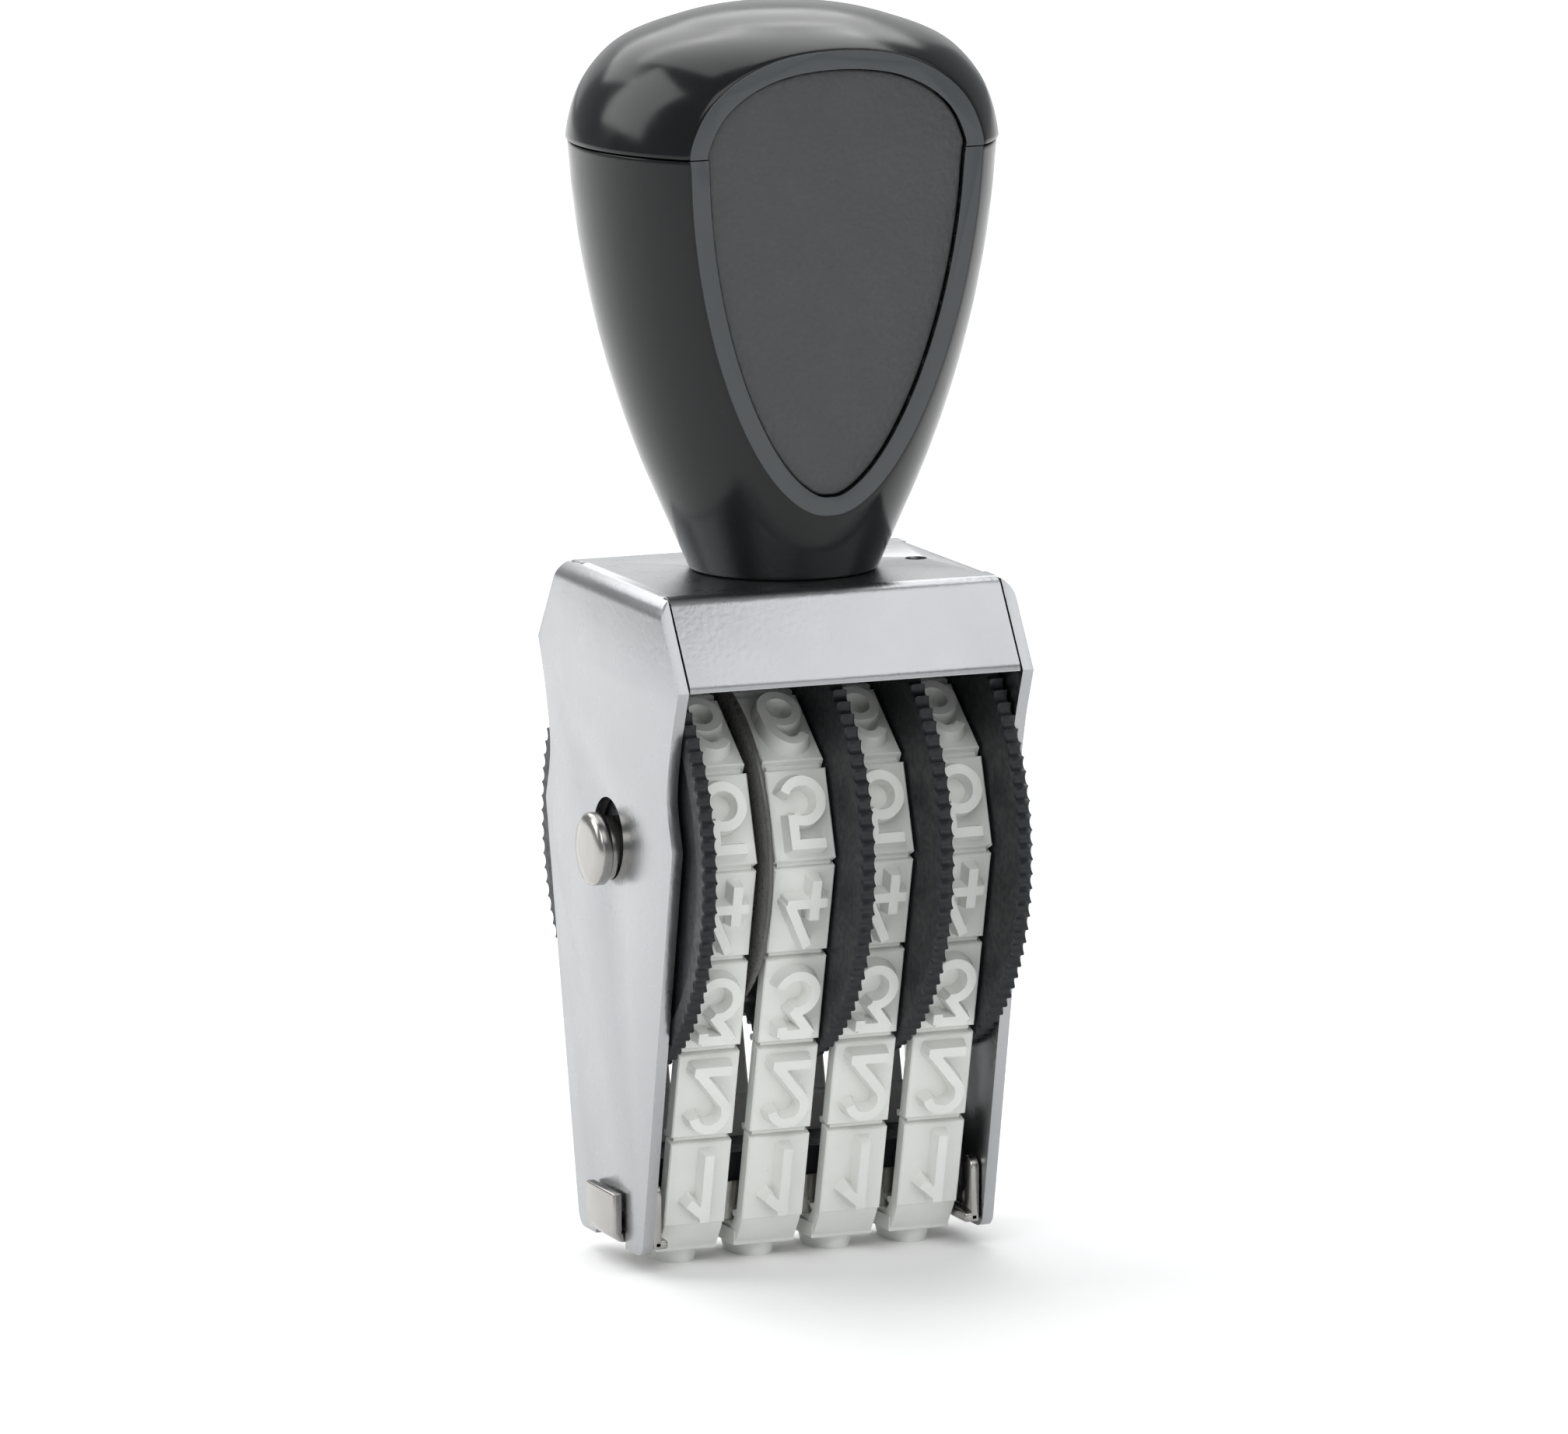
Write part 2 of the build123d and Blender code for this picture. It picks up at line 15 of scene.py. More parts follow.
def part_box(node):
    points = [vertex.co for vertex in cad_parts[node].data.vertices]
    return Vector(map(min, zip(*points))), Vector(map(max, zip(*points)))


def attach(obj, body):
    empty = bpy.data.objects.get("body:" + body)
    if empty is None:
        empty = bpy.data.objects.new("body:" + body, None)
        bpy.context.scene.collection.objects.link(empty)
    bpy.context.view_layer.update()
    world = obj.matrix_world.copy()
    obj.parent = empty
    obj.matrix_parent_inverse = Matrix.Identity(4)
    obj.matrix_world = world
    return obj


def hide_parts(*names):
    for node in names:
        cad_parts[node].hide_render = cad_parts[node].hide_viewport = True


MM = 0.001
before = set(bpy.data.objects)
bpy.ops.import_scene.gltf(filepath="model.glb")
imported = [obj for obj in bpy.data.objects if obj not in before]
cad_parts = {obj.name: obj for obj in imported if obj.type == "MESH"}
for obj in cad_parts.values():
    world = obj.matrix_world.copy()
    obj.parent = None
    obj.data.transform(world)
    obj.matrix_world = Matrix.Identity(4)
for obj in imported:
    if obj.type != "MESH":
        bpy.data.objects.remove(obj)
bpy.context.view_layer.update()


def box_mm(node):
    """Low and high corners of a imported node, in millimetres."""
    low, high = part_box(node)
    return [value / MM for value in low], [value / MM for value in high]


# ------------------------------------------------------------------ sizes from the model

FRAME_LOW, FRAME_HIGH = box_mm("frame_shell")
PLATE_X = FRAME_HIGH[0]
PLATE_TOP = FRAME_HIGH[2]
PLATE_BOTTOM = FRAME_LOW[2]
LIP_DEPTH = FRAME_HIGH[1]
WHEEL_LOW, WHEEL_HIGH = box_mm("thumb_wheel_2")
AXLE_Z = (WHEEL_LOW[2] + WHEEL_HIGH[2]) / 2
AXLE_END = box_mm("axle")[1][0]
BODY_LOW, BODY_HIGH = box_mm("handle_body")
CAP_LOW, CAP_HIGH = box_mm("handle_cap")
HANDLE_BASE = BODY_LOW[2]
SEAM_Z = CAP_LOW[2]
BODY_RADIUS = BODY_HIGH[0]
CAP_RADIUS = CAP_HIGH[0]
HANDLE_TOP = CAP_HIGH[2]

BEYOND = 40
LEFT_AND_RIGHT = (-1, 1)
FRONT_AND_REAR = (-1, 1)


# ------------------------------------------------------------------ mesh helpers


def finish_mesh(mesh, sharp_degrees=32):
    """Smooth shading with sharp creases."""
    mesh.validate()
    mesh.shade_smooth()
    mesh.set_sharp_from_angle(angle=math.radians(sharp_degrees))


def add_object(name, data):
    """New object in the scene that holds a mesh, light or camera."""
    made = bpy.data.objects.new(name, data)
    bpy.context.scene.collection.objects.link(made)
    return made


def new_object(name, verts, faces):
    """Object from vertices in millimetres."""
    mesh = bpy.data.meshes.new(name)
    mesh.from_pydata([tuple(float(c) * MM for c in v) for v in verts], [], faces)
    mesh.validate()
    return add_object(name, mesh)


def face_outward(made):
    """Turns every face of a closed shape outward."""
    work = bmesh.new()
    work.from_mesh(made.data)
    bmesh.ops.recalc_face_normals(work, faces=work.faces)
    work.to_mesh(made.data)
    work.free()
    return made


def from_bmesh(name, work):
    """Object from a bmesh already in millimetres."""
    bmesh.ops.scale(work, vec=(MM, MM, MM), verts=work.verts)
    bmesh.ops.recalc_face_normals(work, faces=work.faces)
    mesh = bpy.data.meshes.new(name)
    work.to_mesh(mesh)
    work.free()
    return add_object(name, mesh)


def bake_modifiers(made):
    """Turns the object's modifiers into plain mesh."""
    graph = bpy.context.evaluated_depsgraph_get()
    evaluated = made.evaluated_get(graph)
    mesh = bpy.data.meshes.new_from_object(evaluated)
    made.modifiers.clear()
    made.data = mesh
    return made


def cut(made, cutters):
    """Boolean difference with each cutter, which is then removed."""
    for cutter in cutters:
        difference = made.modifiers.new("cut", "BOOLEAN")
        difference.operation = "DIFFERENCE"
        difference.solver = "EXACT"
        difference.object = cutter
    bake_modifiers(made)
    for cutter in cutters:
        bpy.data.objects.remove(cutter)
    return made


def bevel(made, width, segments=2, degrees=35):
    """Rounds the edges sharper than an angle."""
    modifier = made.modifiers.new("bevel", "BEVEL")
    modifier.width = width * MM
    modifier.segments = segments
    modifier.limit_method = "ANGLE"
    modifier.angle_limit = math.radians(degrees)
    return bake_modifiers(made)


def join(name, pieces):
    """One object from several, keeping every vertex where it is."""
    work = bmesh.new()
    for piece in pieces:
        work.from_mesh(piece.data)
        bpy.data.objects.remove(piece)
    mesh = bpy.data.meshes.new(name)
    work.to_mesh(mesh)
    work.free()
    return add_object(name, mesh)


def prism(name, outline, axis, low, high):
    """Straight prism of a closed outline; axis is the letter that the outline lacks."""
    order = {"x": (2, 0, 1), "y": (0, 2, 1), "z": (0, 1, 2)}[axis]
    rings = [[(a, b, level) for a, b in outline] for level in (low, high)]
    verts = [tuple(point[i] for i in order) for ring in rings for point in ring]
    count = len(outline)
    faces = [tuple(range(count)), tuple(reversed(range(count, 2 * count)))]
    for index in range(count):
        following = (index + 1) % count
        faces.append((index, index + count, following + count, following))
    return face_outward(new_object(name, verts, faces))


def block(name, x_range, y_range, z_range):
    """Box between two corners."""
    (x0, x1), (y0, y1) = sorted(x_range), sorted(y_range)
    outline = [(x0, y0), (x1, y0), (x1, y1), (x0, y1)]
    return prism(name, outline, "z", *sorted(z_range))


def circle_points(radius, count, centre=(0, 0)):
    """Points round a circle."""
    return [
        (
            centre[0] + radius * math.cos(2 * math.pi * i / count),
            centre[1] + radius * math.sin(2 * math.pi * i / count),
        )
        for i in range(count)
    ]


def arc_points(centre, radius, start, end, steps):
    """Points along an arc, angles in degrees."""
    points = []
    for step in range(steps + 1):
        angle = math.radians(start + (end - start) * step / steps)
        points.append(
            (centre[0] + radius * math.cos(angle), centre[1] + radius * math.sin(angle))
        )
    return points


def lathe_x(name, profile, segments, knurled=False):
    """Closed ring turned about the axle from (x, radius, knurl share) points.

    Where the knurl share is above 0 the radius dips in concave scallops between teeth.
    """
    verts = []
    for x, radius, share in profile:
        for step in range(segments):
            angle = 2 * math.pi * step / segments
            dip = 0.0
            if knurled:
                across = (step % STEPS_PER_TOOTH) / STEPS_PER_TOOTH * 2 - 1
                dip = TOOTH_DEPTH * share * (1 - across**2) ** 0.8
            reach = radius - dip
            verts.append((x, reach * math.cos(angle), AXLE_Z + reach * math.sin(angle)))
    faces = []
    rows = len(profile)
    for row in range(rows):
        low, high = row * segments, ((row + 1) % rows) * segments
        for step in range(segments):
            following = (step + 1) % segments
            faces.append((low + step, low + following, high + following, high + step))
    return face_outward(new_object(name, verts, faces))


def through_points(points, values):
    """Smooth curve through (position, value) points, read at each given position."""
    positions = np.array([p[0] for p in points], float)
    levels = np.array([p[1] for p in points], float)
    slopes = np.gradient(levels, positions)
    values = np.clip(values, positions[0], positions[-1])
    index = np.clip(np.searchsorted(positions, values) - 1, 0, len(positions) - 2)
    span = positions[index + 1] - positions[index]
    t = (values - positions[index]) / span
    a, b = levels[index], levels[index + 1]
    return (
        a * (1 + 2 * t) * (1 - t) ** 2
        + slopes[index] * span * t * (1 - t) ** 2
        + b * t**2 * (3 - 2 * t)
        + slopes[index + 1] * span * t**2 * (t - 1)
    )


def hand_over(made, material, slot, body, *nodes, sharp_degrees=32):
    """Gives a piece its material and body and hides the imported nodes that it stands for; slot is
    not used.
    """
    finish_mesh(made.data, sharp_degrees)
    made.data.materials.clear()
    made.data.materials.append(material)
    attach(made, body)
    if nodes:
        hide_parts(*nodes)
    return made


# ------------------------------------------------------------------ materials


class Finish:
    """Small builder for a procedural material on a Principled shader."""

    def __init__(self, name, roughness, metallic=0.0, specular=0.5):
        self.material = bpy.data.materials.new(name)
        self.material.use_nodes = True
        self.tree = self.material.node_tree
        self.nodes = self.tree.nodes
        self.shader = self.nodes["Principled BSDF"]
        self.shader.inputs["Roughness"].default_value = roughness
        self.shader.inputs["Metallic"].default_value = metallic
        self.shader.inputs["Specular IOR Level"].default_value = specular
        self.place = self.nodes.new("ShaderNodeTexCoord").outputs["Object"]
        self.height = None

    def link(self, source, target):
        self.tree.links.new(source, target)

    def noise(self, size_mm, detail=2.0, stretch=(1, 1, 1), distortion=0.0):
        """Noise with features of about one size."""
        mapping = self.nodes.new("ShaderNodeMapping")
        mapping.inputs["Scale"].default_value = stretch
        self.link(self.place, mapping.inputs["Vector"])
        texture = self.nodes.new("ShaderNodeTexNoise")
        texture.inputs["Scale"].default_value = 1 / (size_mm * MM)
        texture.inputs["Detail"].default_value = detail
        texture.inputs["Distortion"].default_value = distortion
        self.link(mapping.outputs["Vector"], texture.inputs["Vector"])
        return texture.outputs["Fac"]

    def cells(self, size_mm, feature="F1"):
        """Cellular pattern with cells of about one size."""
        texture = self.nodes.new("ShaderNodeTexVoronoi")
        texture.feature = feature
        texture.inputs["Scale"].default_value = 1 / (size_mm * MM)
        self.link(self.place, texture.inputs["Vector"])
        return texture.outputs["Distance"]

    def spread(self, value, low, high, start=0.3, end=0.7):
        """Maps a noise value to a range."""
        mapped = self.nodes.new("ShaderNodeMapRange")
        mapped.inputs["From Min"].default_value = start
        mapped.inputs["From Max"].default_value = end
        mapped.inputs["To Min"].default_value = low
        mapped.inputs["To Max"].default_value = high
        self.link(value, mapped.inputs["Value"])
        return mapped.outputs["Result"]

    def mix(self, share, first, second):
        """Colour between two colours."""
        mixed = self.nodes.new("ShaderNodeMix")
        mixed.data_type = "RGBA"
        self.link(share, mixed.inputs["Factor"])
        for socket, colour in ((6, first), (7, second)):
            if isinstance(colour, tuple):
                mixed.inputs[socket].default_value = (*colour, 1)
            else:
                self.link(colour, mixed.inputs[socket])
        return mixed.outputs[2]

    def colour(self, value):
        self.link(value, self.shader.inputs["Base Color"])

    def roughness(self, value):
        self.link(value, self.shader.inputs["Roughness"])

    def bump(self, value, depth_mm):
        """Adds a layer of relief; later layers sit on earlier ones."""
        node = self.nodes.new("ShaderNodeBump")
        node.inputs["Strength"].default_value = 1.0
        node.inputs["Distance"].default_value = depth_mm * MM
        self.link(value, node.inputs["Height"])
        if self.height is not None:
            self.link(self.height, node.inputs["Normal"])
        self.height = node.outputs["Normal"]
        self.link(self.height, self.shader.inputs["Normal"])


def plated_steel():
    """Satin nickel plating with fine orange peel and faint clouding."""
    made = Finish("plated_steel", 0.27, metallic=1.0)
    cloud = made.noise(16, detail=2)
    made.colour(made.mix(cloud, (0.40, 0.408, 0.42), (0.42, 0.428, 0.44)))
    made.roughness(made.spread(made.noise(6, detail=2), 0.25, 0.31, 0.2, 0.8))
    made.bump(made.noise(0.8, detail=1), 0.022)
    made.bump(made.noise(0.28, detail=1), 0.004)
    return made.material


def bright_steel():
    """Bright zinc plating with fine rolling lines and tiny dents."""
    made = Finish("bright_steel", 0.2, metallic=1.0)
    warm = made.noise(4, detail=3)
    made.colour(made.mix(warm, (0.37, 0.36, 0.34), (0.43, 0.42, 0.40)))
    made.roughness(made.spread(made.noise(2.4, detail=3), 0.17, 0.27, 0.2, 0.8))
    made.bump(made.noise(0.5, detail=2, stretch=(1, 1, 0.25)), 0.006)
    return made.material


def band_rubber():
    """Matt light grey rubber with ragged mould marks, faint stains and dust."""
    made = Finish("band_rubber", 0.55, specular=0.3)
    stain = made.noise(5, detail=5)
    base = made.mix(stain, (0.73, 0.745, 0.715), (0.82, 0.83, 0.80))
    dust = made.spread(made.noise(0.34, detail=3), 0.0, 1.0, 0.745, 0.79)
    made.colour(made.mix(dust, base, (0.36, 0.35, 0.32)))
    made.roughness(made.spread(made.noise(1.1, detail=4), 0.45, 0.65))
    made.bump(made.noise(1.8, detail=2), 0.05)
    made.bump(made.noise(0.2, detail=3), 0.008)
    return made.material


def wheel_plastic():
    """Dark moulded plastic, slightly dusty, with fine scratches on its faces."""
    made = Finish("wheel_plastic", 0.4, specular=0.34)
    dusty = made.noise(2.2, detail=6)
    made.colour(made.mix(dusty, (0.012, 0.0135, 0.016), (0.024, 0.026, 0.030)))
    made.roughness(made.spread(made.noise(0.9, detail=5), 0.32, 0.55))
    made.bump(made.noise(0.28, detail=3), 0.015)
    made.bump(made.noise(0.9, detail=8, stretch=(1, 0.08, 1), distortion=0.6), 0.012)
    return made.material


def disc_plastic():
    """Smoky grey plastic with a polished, slightly dirty edge."""
    made = Finish("disc_plastic", 0.25, specular=0.5)
    dirt = made.noise(1.5, detail=6)
    made.colour(made.mix(dirt, (0.075, 0.076, 0.072), (0.13, 0.13, 0.12)))
    made.roughness(made.spread(made.noise(0.7, detail=4), 0.2, 0.45))
    made.bump(made.noise(0.5, detail=4), 0.015)
    return made.material


def handle_plastic(name="handle_plastic", dark=0.006, light=0.008, gloss=0.3):
    """Glossy black moulding with faint flow waves, hairlines and specks."""
    made = Finish(name, 0.17, specular=gloss)
    cloud = made.noise(14, detail=3)
    shades = [(value * 0.9, value, value * 1.08) for value in (dark, light)]
    base = made.mix(cloud, *shades)
    speck = made.spread(made.noise(0.5, detail=2), 0.0, 1.0, 0.79, 0.82)
    made.colour(made.mix(speck, base, (0.06, 0.062, 0.065)))
    made.roughness(made.spread(made.noise(5, detail=7), 0.14, 0.22))
    made.bump(made.noise(22, detail=1), 0.10)
    made.bump(made.noise(0.35, detail=2), 0.001)
    return made.material


def badge_plastic():
    """Dark grey plaque with a fine leather grain."""
    made = Finish("badge_plastic", 0.5, specular=0.45)
    tone = made.noise(5, detail=3)
    made.colour(made.mix(tone, (0.046, 0.050, 0.052), (0.056, 0.060, 0.062)))
    made.roughness(made.spread(made.noise(0.6, detail=3), 0.42, 0.6))
    made.bump(made.cells(0.8, "SMOOTH_F1"), 0.11)
    made.bump(made.noise(0.45, detail=2), 0.05)
    return made.material


def turned_brass():
    """Turned brass with fine rings."""
    made = Finish("turned_brass", 0.3, metallic=1.0)
    made.colour(made.mix(made.noise(2, detail=4), (0.62, 0.45, 0.20), (0.74, 0.56, 0.28)))
    made.roughness(made.spread(made.noise(0.8, detail=4), 0.22, 0.4))
    made.bump(made.noise(0.3, detail=3, stretch=(0.1, 0.1, 1)), 0.02)
    return made.material


def floor_paper():
    """Plain pale studio paper."""
    made = Finish("floor_paper", 0.8, specular=0.2)
    made.colour(made.mix(made.noise(40, detail=4), (0.93, 0.93, 0.93), (0.95, 0.95, 0.95)))
    made.bump(made.noise(0.5, detail=3), 0.004)
    return made.material


# ------------------------------------------------------------------ frame sheet

SHEET = 1.4
TOP_DEPTH = 16.5
LIP_BOTTOM = 73.7
LIP_SEAM = 0.25
LIP_FOLD = 2.4
LIP_ROLL = 1.5
LIP_ROLL_DEGREES = 38
BEND = 2.6
FOOT_DEPTH = 10.5
FOOT_ROUND = 2.0
EDGE_ROUND = 0.32
AXLE_RADIUS = 3.9
HEAD_RADIUS = 4.45
HOLE_RADIUS = 5.05
PEEP_X = 17.4
PEEP_RADIUS = 1.35
SCREW_HOLE_RADIUS = 2.7
EAR_HALF_WIDTH = 4.65
NOTCH_CLEARANCE = 0.35
NOTCH_TOP = 4.65


def combine(made, other, operation):
    """Boolean union or intersection with another closed shape, which is then removed."""
    modifier = made.modifiers.new("combine", "BOOLEAN")
    modifier.operation = operation
    modifier.solver = "EXACT"
    modifier.object = other
    bake_modifiers(made)
    bpy.data.objects.remove(other)
    return made


def plate_outline():
    """Outline of a side plate as (y, z): slanted top, hollow waist, straight taper."""
    shoulder_z, shoulder_depth = 54.0, 21.2
    waist = [(LIP_BOTTOM, LIP_DEPTH), (66.5, 20.8), (60.0, 19.6), (shoulder_z, shoulder_depth)]
    heights = np.linspace(LIP_BOTTOM, shoulder_z, 24)
    depths = through_points(waist[::-1], heights)
    half = [(TOP_DEPTH, PLATE_TOP)]
    half += [(float(depth), float(height)) for depth, height in zip(depths, heights)]
    taper = math.degrees(math.atan2(shoulder_depth - FOOT_DEPTH, shoulder_z - PLATE_BOTTOM))
    corner = (FOOT_DEPTH - FOOT_ROUND * 0.8, PLATE_BOTTOM + FOOT_ROUND)
    half += arc_points(corner, FOOT_ROUND, -taper, -90, 8)
    mirrored = [(-y, z) for y, z in reversed(half)]
    return half + mirrored


def bent_channel(half_length):
    """Top plate and both side walls as one closed bent shape."""
    centre = (PLATE_X - BEND, PLATE_TOP - BEND)
    outer = [(PLATE_X, 0)] + arc_points(centre, BEND, 0, 90, 10)
    inner = [(PLATE_X - SHEET, 0)] + arc_points(centre, BEND - SHEET, 0, 90, 8)
    outline = outer + [(-x, z) for x, z in reversed(outer)]
    outline += [(-x, z) for x, z in inner] + list(reversed(inner))
    return prism("frame_sheet", outline, "y", -half_length, half_length)


def folded_lip(side):
    """Lip bent down from the top plate, its bottom edge rolled slightly inward."""
    slant = math.atan2(LIP_DEPTH - TOP_DEPTH, PLATE_TOP - LIP_BOTTOM)
    turn = math.pi / 2 - slant
    reach = LIP_FOLD * math.tan(turn / 2)
    centre = (TOP_DEPTH - reach, PLATE_TOP - LIP_FOLD)
    degrees = math.degrees(slant)
    outer = arc_points(centre, LIP_FOLD, 90, degrees, 8)
    thin = arc_points(centre, LIP_FOLD - SHEET, 90, degrees, 8)
    end = Vector((LIP_DEPTH, LIP_BOTTOM + 0.1))
    down = Vector((math.sin(slant), -math.cos(slant)))
    out = Vector((math.cos(slant), math.sin(slant)))
    roll_centre = tuple(end - down * 0.9 - out * LIP_ROLL)
    roll_end = degrees - LIP_ROLL_DEGREES
    outer += arc_points(roll_centre, LIP_ROLL, degrees, roll_end, 6)
    inner = arc_points(roll_centre, LIP_ROLL - SHEET, degrees, roll_end, 3)
    outline = outer + list(reversed(inner)) + list(reversed(thin))
    start = outline[0][0] - 2.5
    outline = [(start, PLATE_TOP)] + outline + [(start, PLATE_TOP - SHEET)]
    lip_x = PLATE_X - SHEET - LIP_SEAM
    return prism("lip", [(side * y, z) for y, z in outline], "x", -lip_x, lip_x)


def frame_sheet(material):
    """The bent sheet: top plate, rounded bends, side plates and two folded lips."""
    made = bent_channel(LIP_DEPTH + 1)
    combine(made, prism("profile", plate_outline(), "x", -30, 30), "INTERSECT")
    relief_x = PLATE_X - SHEET - 0.02
    edge = TOP_DEPTH - 1.6
    for side in FRONT_AND_REAR:
        corner = block("corner", (-relief_x, relief_x), (side * edge, side * 30), (60, 90))
        cut(made, [corner])
        combine(made, folded_lip(side), "UNION")
    hole_z = AXLE_Z + HOLE_RADIUS - AXLE_RADIUS
    through_top = (80, 90)
    notch_half = EAR_HALF_WIDTH + NOTCH_CLEARANCE
    hole = prism("hole", circle_points(HOLE_RADIUS, 96, (0, hole_z)), "x", -BEYOND, BEYOND)
    notch_height = (PLATE_BOTTOM - 1, NOTCH_TOP)
    notch = block("notch", (-BEYOND, BEYOND), (-notch_half, notch_half), notch_height)
    peep = prism("peep", circle_points(PEEP_RADIUS, 40, (PEEP_X, 0)), "z", *through_top)
    screw_hole = prism("screw_hole", circle_points(SCREW_HOLE_RADIUS, 40), "z", *through_top)
    cut(made, [hole, notch, peep, screw_hole])
    bevel(made, EDGE_ROUND, 3, 40)
    return hand_over(made, material, "plated_steel", "stamp", "frame_shell", sharp_degrees=40)


# ------------------------------------------------------------------ axle, wheels and disc

RIM_RADIUS = 27.6
RIM_WIDTH = 1.75
RIM_CHAMFER = 0.22
TOOTH_COUNT = 96
TOOTH_DEPTH = 0.75
STEPS_PER_TOOTH = 10
DRUM_RADIUS = 15.65
RECESS_RADIUS = 24.6
FACE_RECESS = 0.4
BORE_RADIUS = AXLE_RADIUS + 0.05


def axle_pin(material):
    """Pin with chamfered, slightly domed heads and a neck inside each."""
    head_in = AXLE_END - 2.0
    half = [
        (AXLE_END, 0.02),
        (AXLE_END - 0.06, 2.6),
        (AXLE_END - 0.18, HEAD_RADIUS - 0.5),
        (AXLE_END - 0.55, HEAD_RADIUS - 0.06),
        (AXLE_END - 0.75, HEAD_RADIUS),
        (head_in + 0.12, HEAD_RADIUS),
        (head_in, HEAD_RADIUS - 0.12),
        (head_in, AXLE_RADIUS),
    ]
    profile = [(x, radius, 0) for x, radius in half]
    profile += [(-x, radius, 0) for x, radius in reversed(half)]
    made = lathe_x("axle_pin", profile, 96)
    return hand_over(made, material, "bright_steel", "stamp", "axle", sharp_degrees=50)


def thumb_wheel(index, material):
    """Knurled flange with a recessed outer face and the drum that carries the band."""
    node = f"thumb_wheel_{index}"
    low, high = box_mm(node)
    outer_face, away = (low[0], 1) if index == 1 else (high[0], -1)
    width = high[0] - low[0]
    knurl_foot, chamfer = RIM_RADIUS - 1.3, RIM_CHAMFER
    from_face = [
        (0, BORE_RADIUS, 0),
        (0, DRUM_RADIUS - 0.15, 0),
        (0.15, DRUM_RADIUS, 0),
        (FACE_RECESS, DRUM_RADIUS + 0.3, 0),
        (FACE_RECESS, RECESS_RADIUS - 0.4, 0),
        (0.12, RECESS_RADIUS, 0),
        (0, RECESS_RADIUS + 0.2, 0),
        (0, knurl_foot, 0),
        (0, RIM_RADIUS - chamfer, 1),
        (chamfer, RIM_RADIUS, 1),
        (RIM_WIDTH - chamfer, RIM_RADIUS, 1),
        (RIM_WIDTH, RIM_RADIUS - chamfer, 1),
        (RIM_WIDTH, knurl_foot, 0),
        (RIM_WIDTH, DRUM_RADIUS, 0),
        (width - 0.2, DRUM_RADIUS, 0),
        (width, DRUM_RADIUS - 0.2, 0),
        (width, BORE_RADIUS, 0),
    ]
    profile = [(outer_face + away * x, radius, share) for x, radius, share in from_face]
    made = lathe_x(node + "_knurled", profile, TOOTH_COUNT * STEPS_PER_TOOTH, knurled=True)
    return hand_over(made, material, "wheel_plastic", f"wheel_{index}", node, sharp_degrees=28)


def separator(material):
    """Thin loose disc with a rounded rim."""
    low, high = box_mm("separator_disc")
    radius = (high[2] - low[2]) / 2
    middle, half = (low[0] + high[0]) / 2, (high[0] - low[0]) / 2
    rim = radius - half
    profile = [(low[0], BORE_RADIUS, 0), (low[0], rim, 0)]
    for step in range(1, 7):
        angle = math.pi * (1 - step / 7)
        profile.append((middle + half * math.cos(angle), rim + half * math.sin(angle), 0))
    profile += [(high[0], rim, 0), (high[0], BORE_RADIUS, 0)]
    made = lathe_x("separator_rim", profile, 256)
    return hand_over(made, material, "disc_plastic", "separator", "separator_disc")


# ------------------------------------------------------------------ bands

BAND_RADIUS = 18.85
TILE_PITCH = 11.85
TILE_LENGTH = 10.95
TILE_WIDTH = 7.9
TILE_THICKNESS = 2.9
WEB_THICKNESS = 1.6
WEB_WIDTH = 7.3
RIDGE_RADIUS = 0.42
RUN_LEAN = 13.8
TILE_TURN = 36.0
RELIEF = 1.8
STROKE = 1.2
DRAFT = 0.36
TILE_CHAMFER = 0.16
TILE_FLARE = 0.22
CELL = 0.1


def tile_places():
    """Centre of each tile's outer face and its outward normal, as (forward, up) pairs."""
    lean = math.radians(RUN_LEAN)
    tangent = (
        BAND_RADIUS * math.cos(lean),
        AXLE_Z - BAND_RADIUS * math.sin(lean),
    )
    first_on_run = TILE_PITCH - BAND_RADIUS * (math.pi / 2 + lean - math.radians(2 * TILE_TURN))
    half = [((0, RELIEF), (0, -1))]
    for index in range(1, 5):
        travel = first_on_run + (4 - index) * TILE_PITCH
        centre = (
            tangent[0] - travel * math.sin(lean),
            tangent[1] - travel * math.cos(lean),
        )
        half.append((centre, (math.cos(lean), -math.sin(lean))))
    for index in range(5, 8):
        angle = math.radians((7 - index) * TILE_TURN)
        normal = (math.sin(angle), math.cos(angle))
        half.append(((BAND_RADIUS * normal[0], AXLE_Z + BAND_RADIUS * normal[1]), normal))
    rear = [((-c[0], c[1]), (-n[0], n[1])) for c, n in reversed(half[1:7])]
    return half + rear


def meeting_point(first, second, depth):
    """Where two tile faces, each pushed inward by depth, cross."""
    (first_centre, first_normal), (second_centre, second_normal) = first, second
    first_reach = first_centre[0] * first_normal[0] + first_centre[1] * first_normal[1] - depth
    second_reach = (
        second_centre[0] * second_normal[0] + second_centre[1] * second_normal[1] - depth
    )
    cross = first_normal[0] * second_normal[1] - first_normal[1] * second_normal[0]
    forward = (first_reach * second_normal[1] - second_reach * first_normal[1]) / cross
    up = (first_normal[0] * second_reach - second_normal[0] * first_reach) / cross
    return (-forward, up)


def line(x0, y0, x1, y1, start_cap=0.0, end_cap=0.0):
    """Straight stroke with square ends; a cap runs it on past its end."""
    length = math.dist((x0, y0), (x1, y1))
    dx, dy = (x1 - x0) / length, (y1 - y0) / length

    def distance(px, py):
        along = (px - x0) * dx + (py - y0) * dy
        across = np.abs((py - y0) * dx - (px - x0) * dy)
        beyond = np.maximum(-start_cap - along, along - length - end_cap)
        out_across = across - STROKE / 2
        outside = np.hypot(np.maximum(beyond, 0), np.maximum(out_across, 0))
        return outside + np.minimum(np.maximum(beyond, out_across), 0)

    return distance


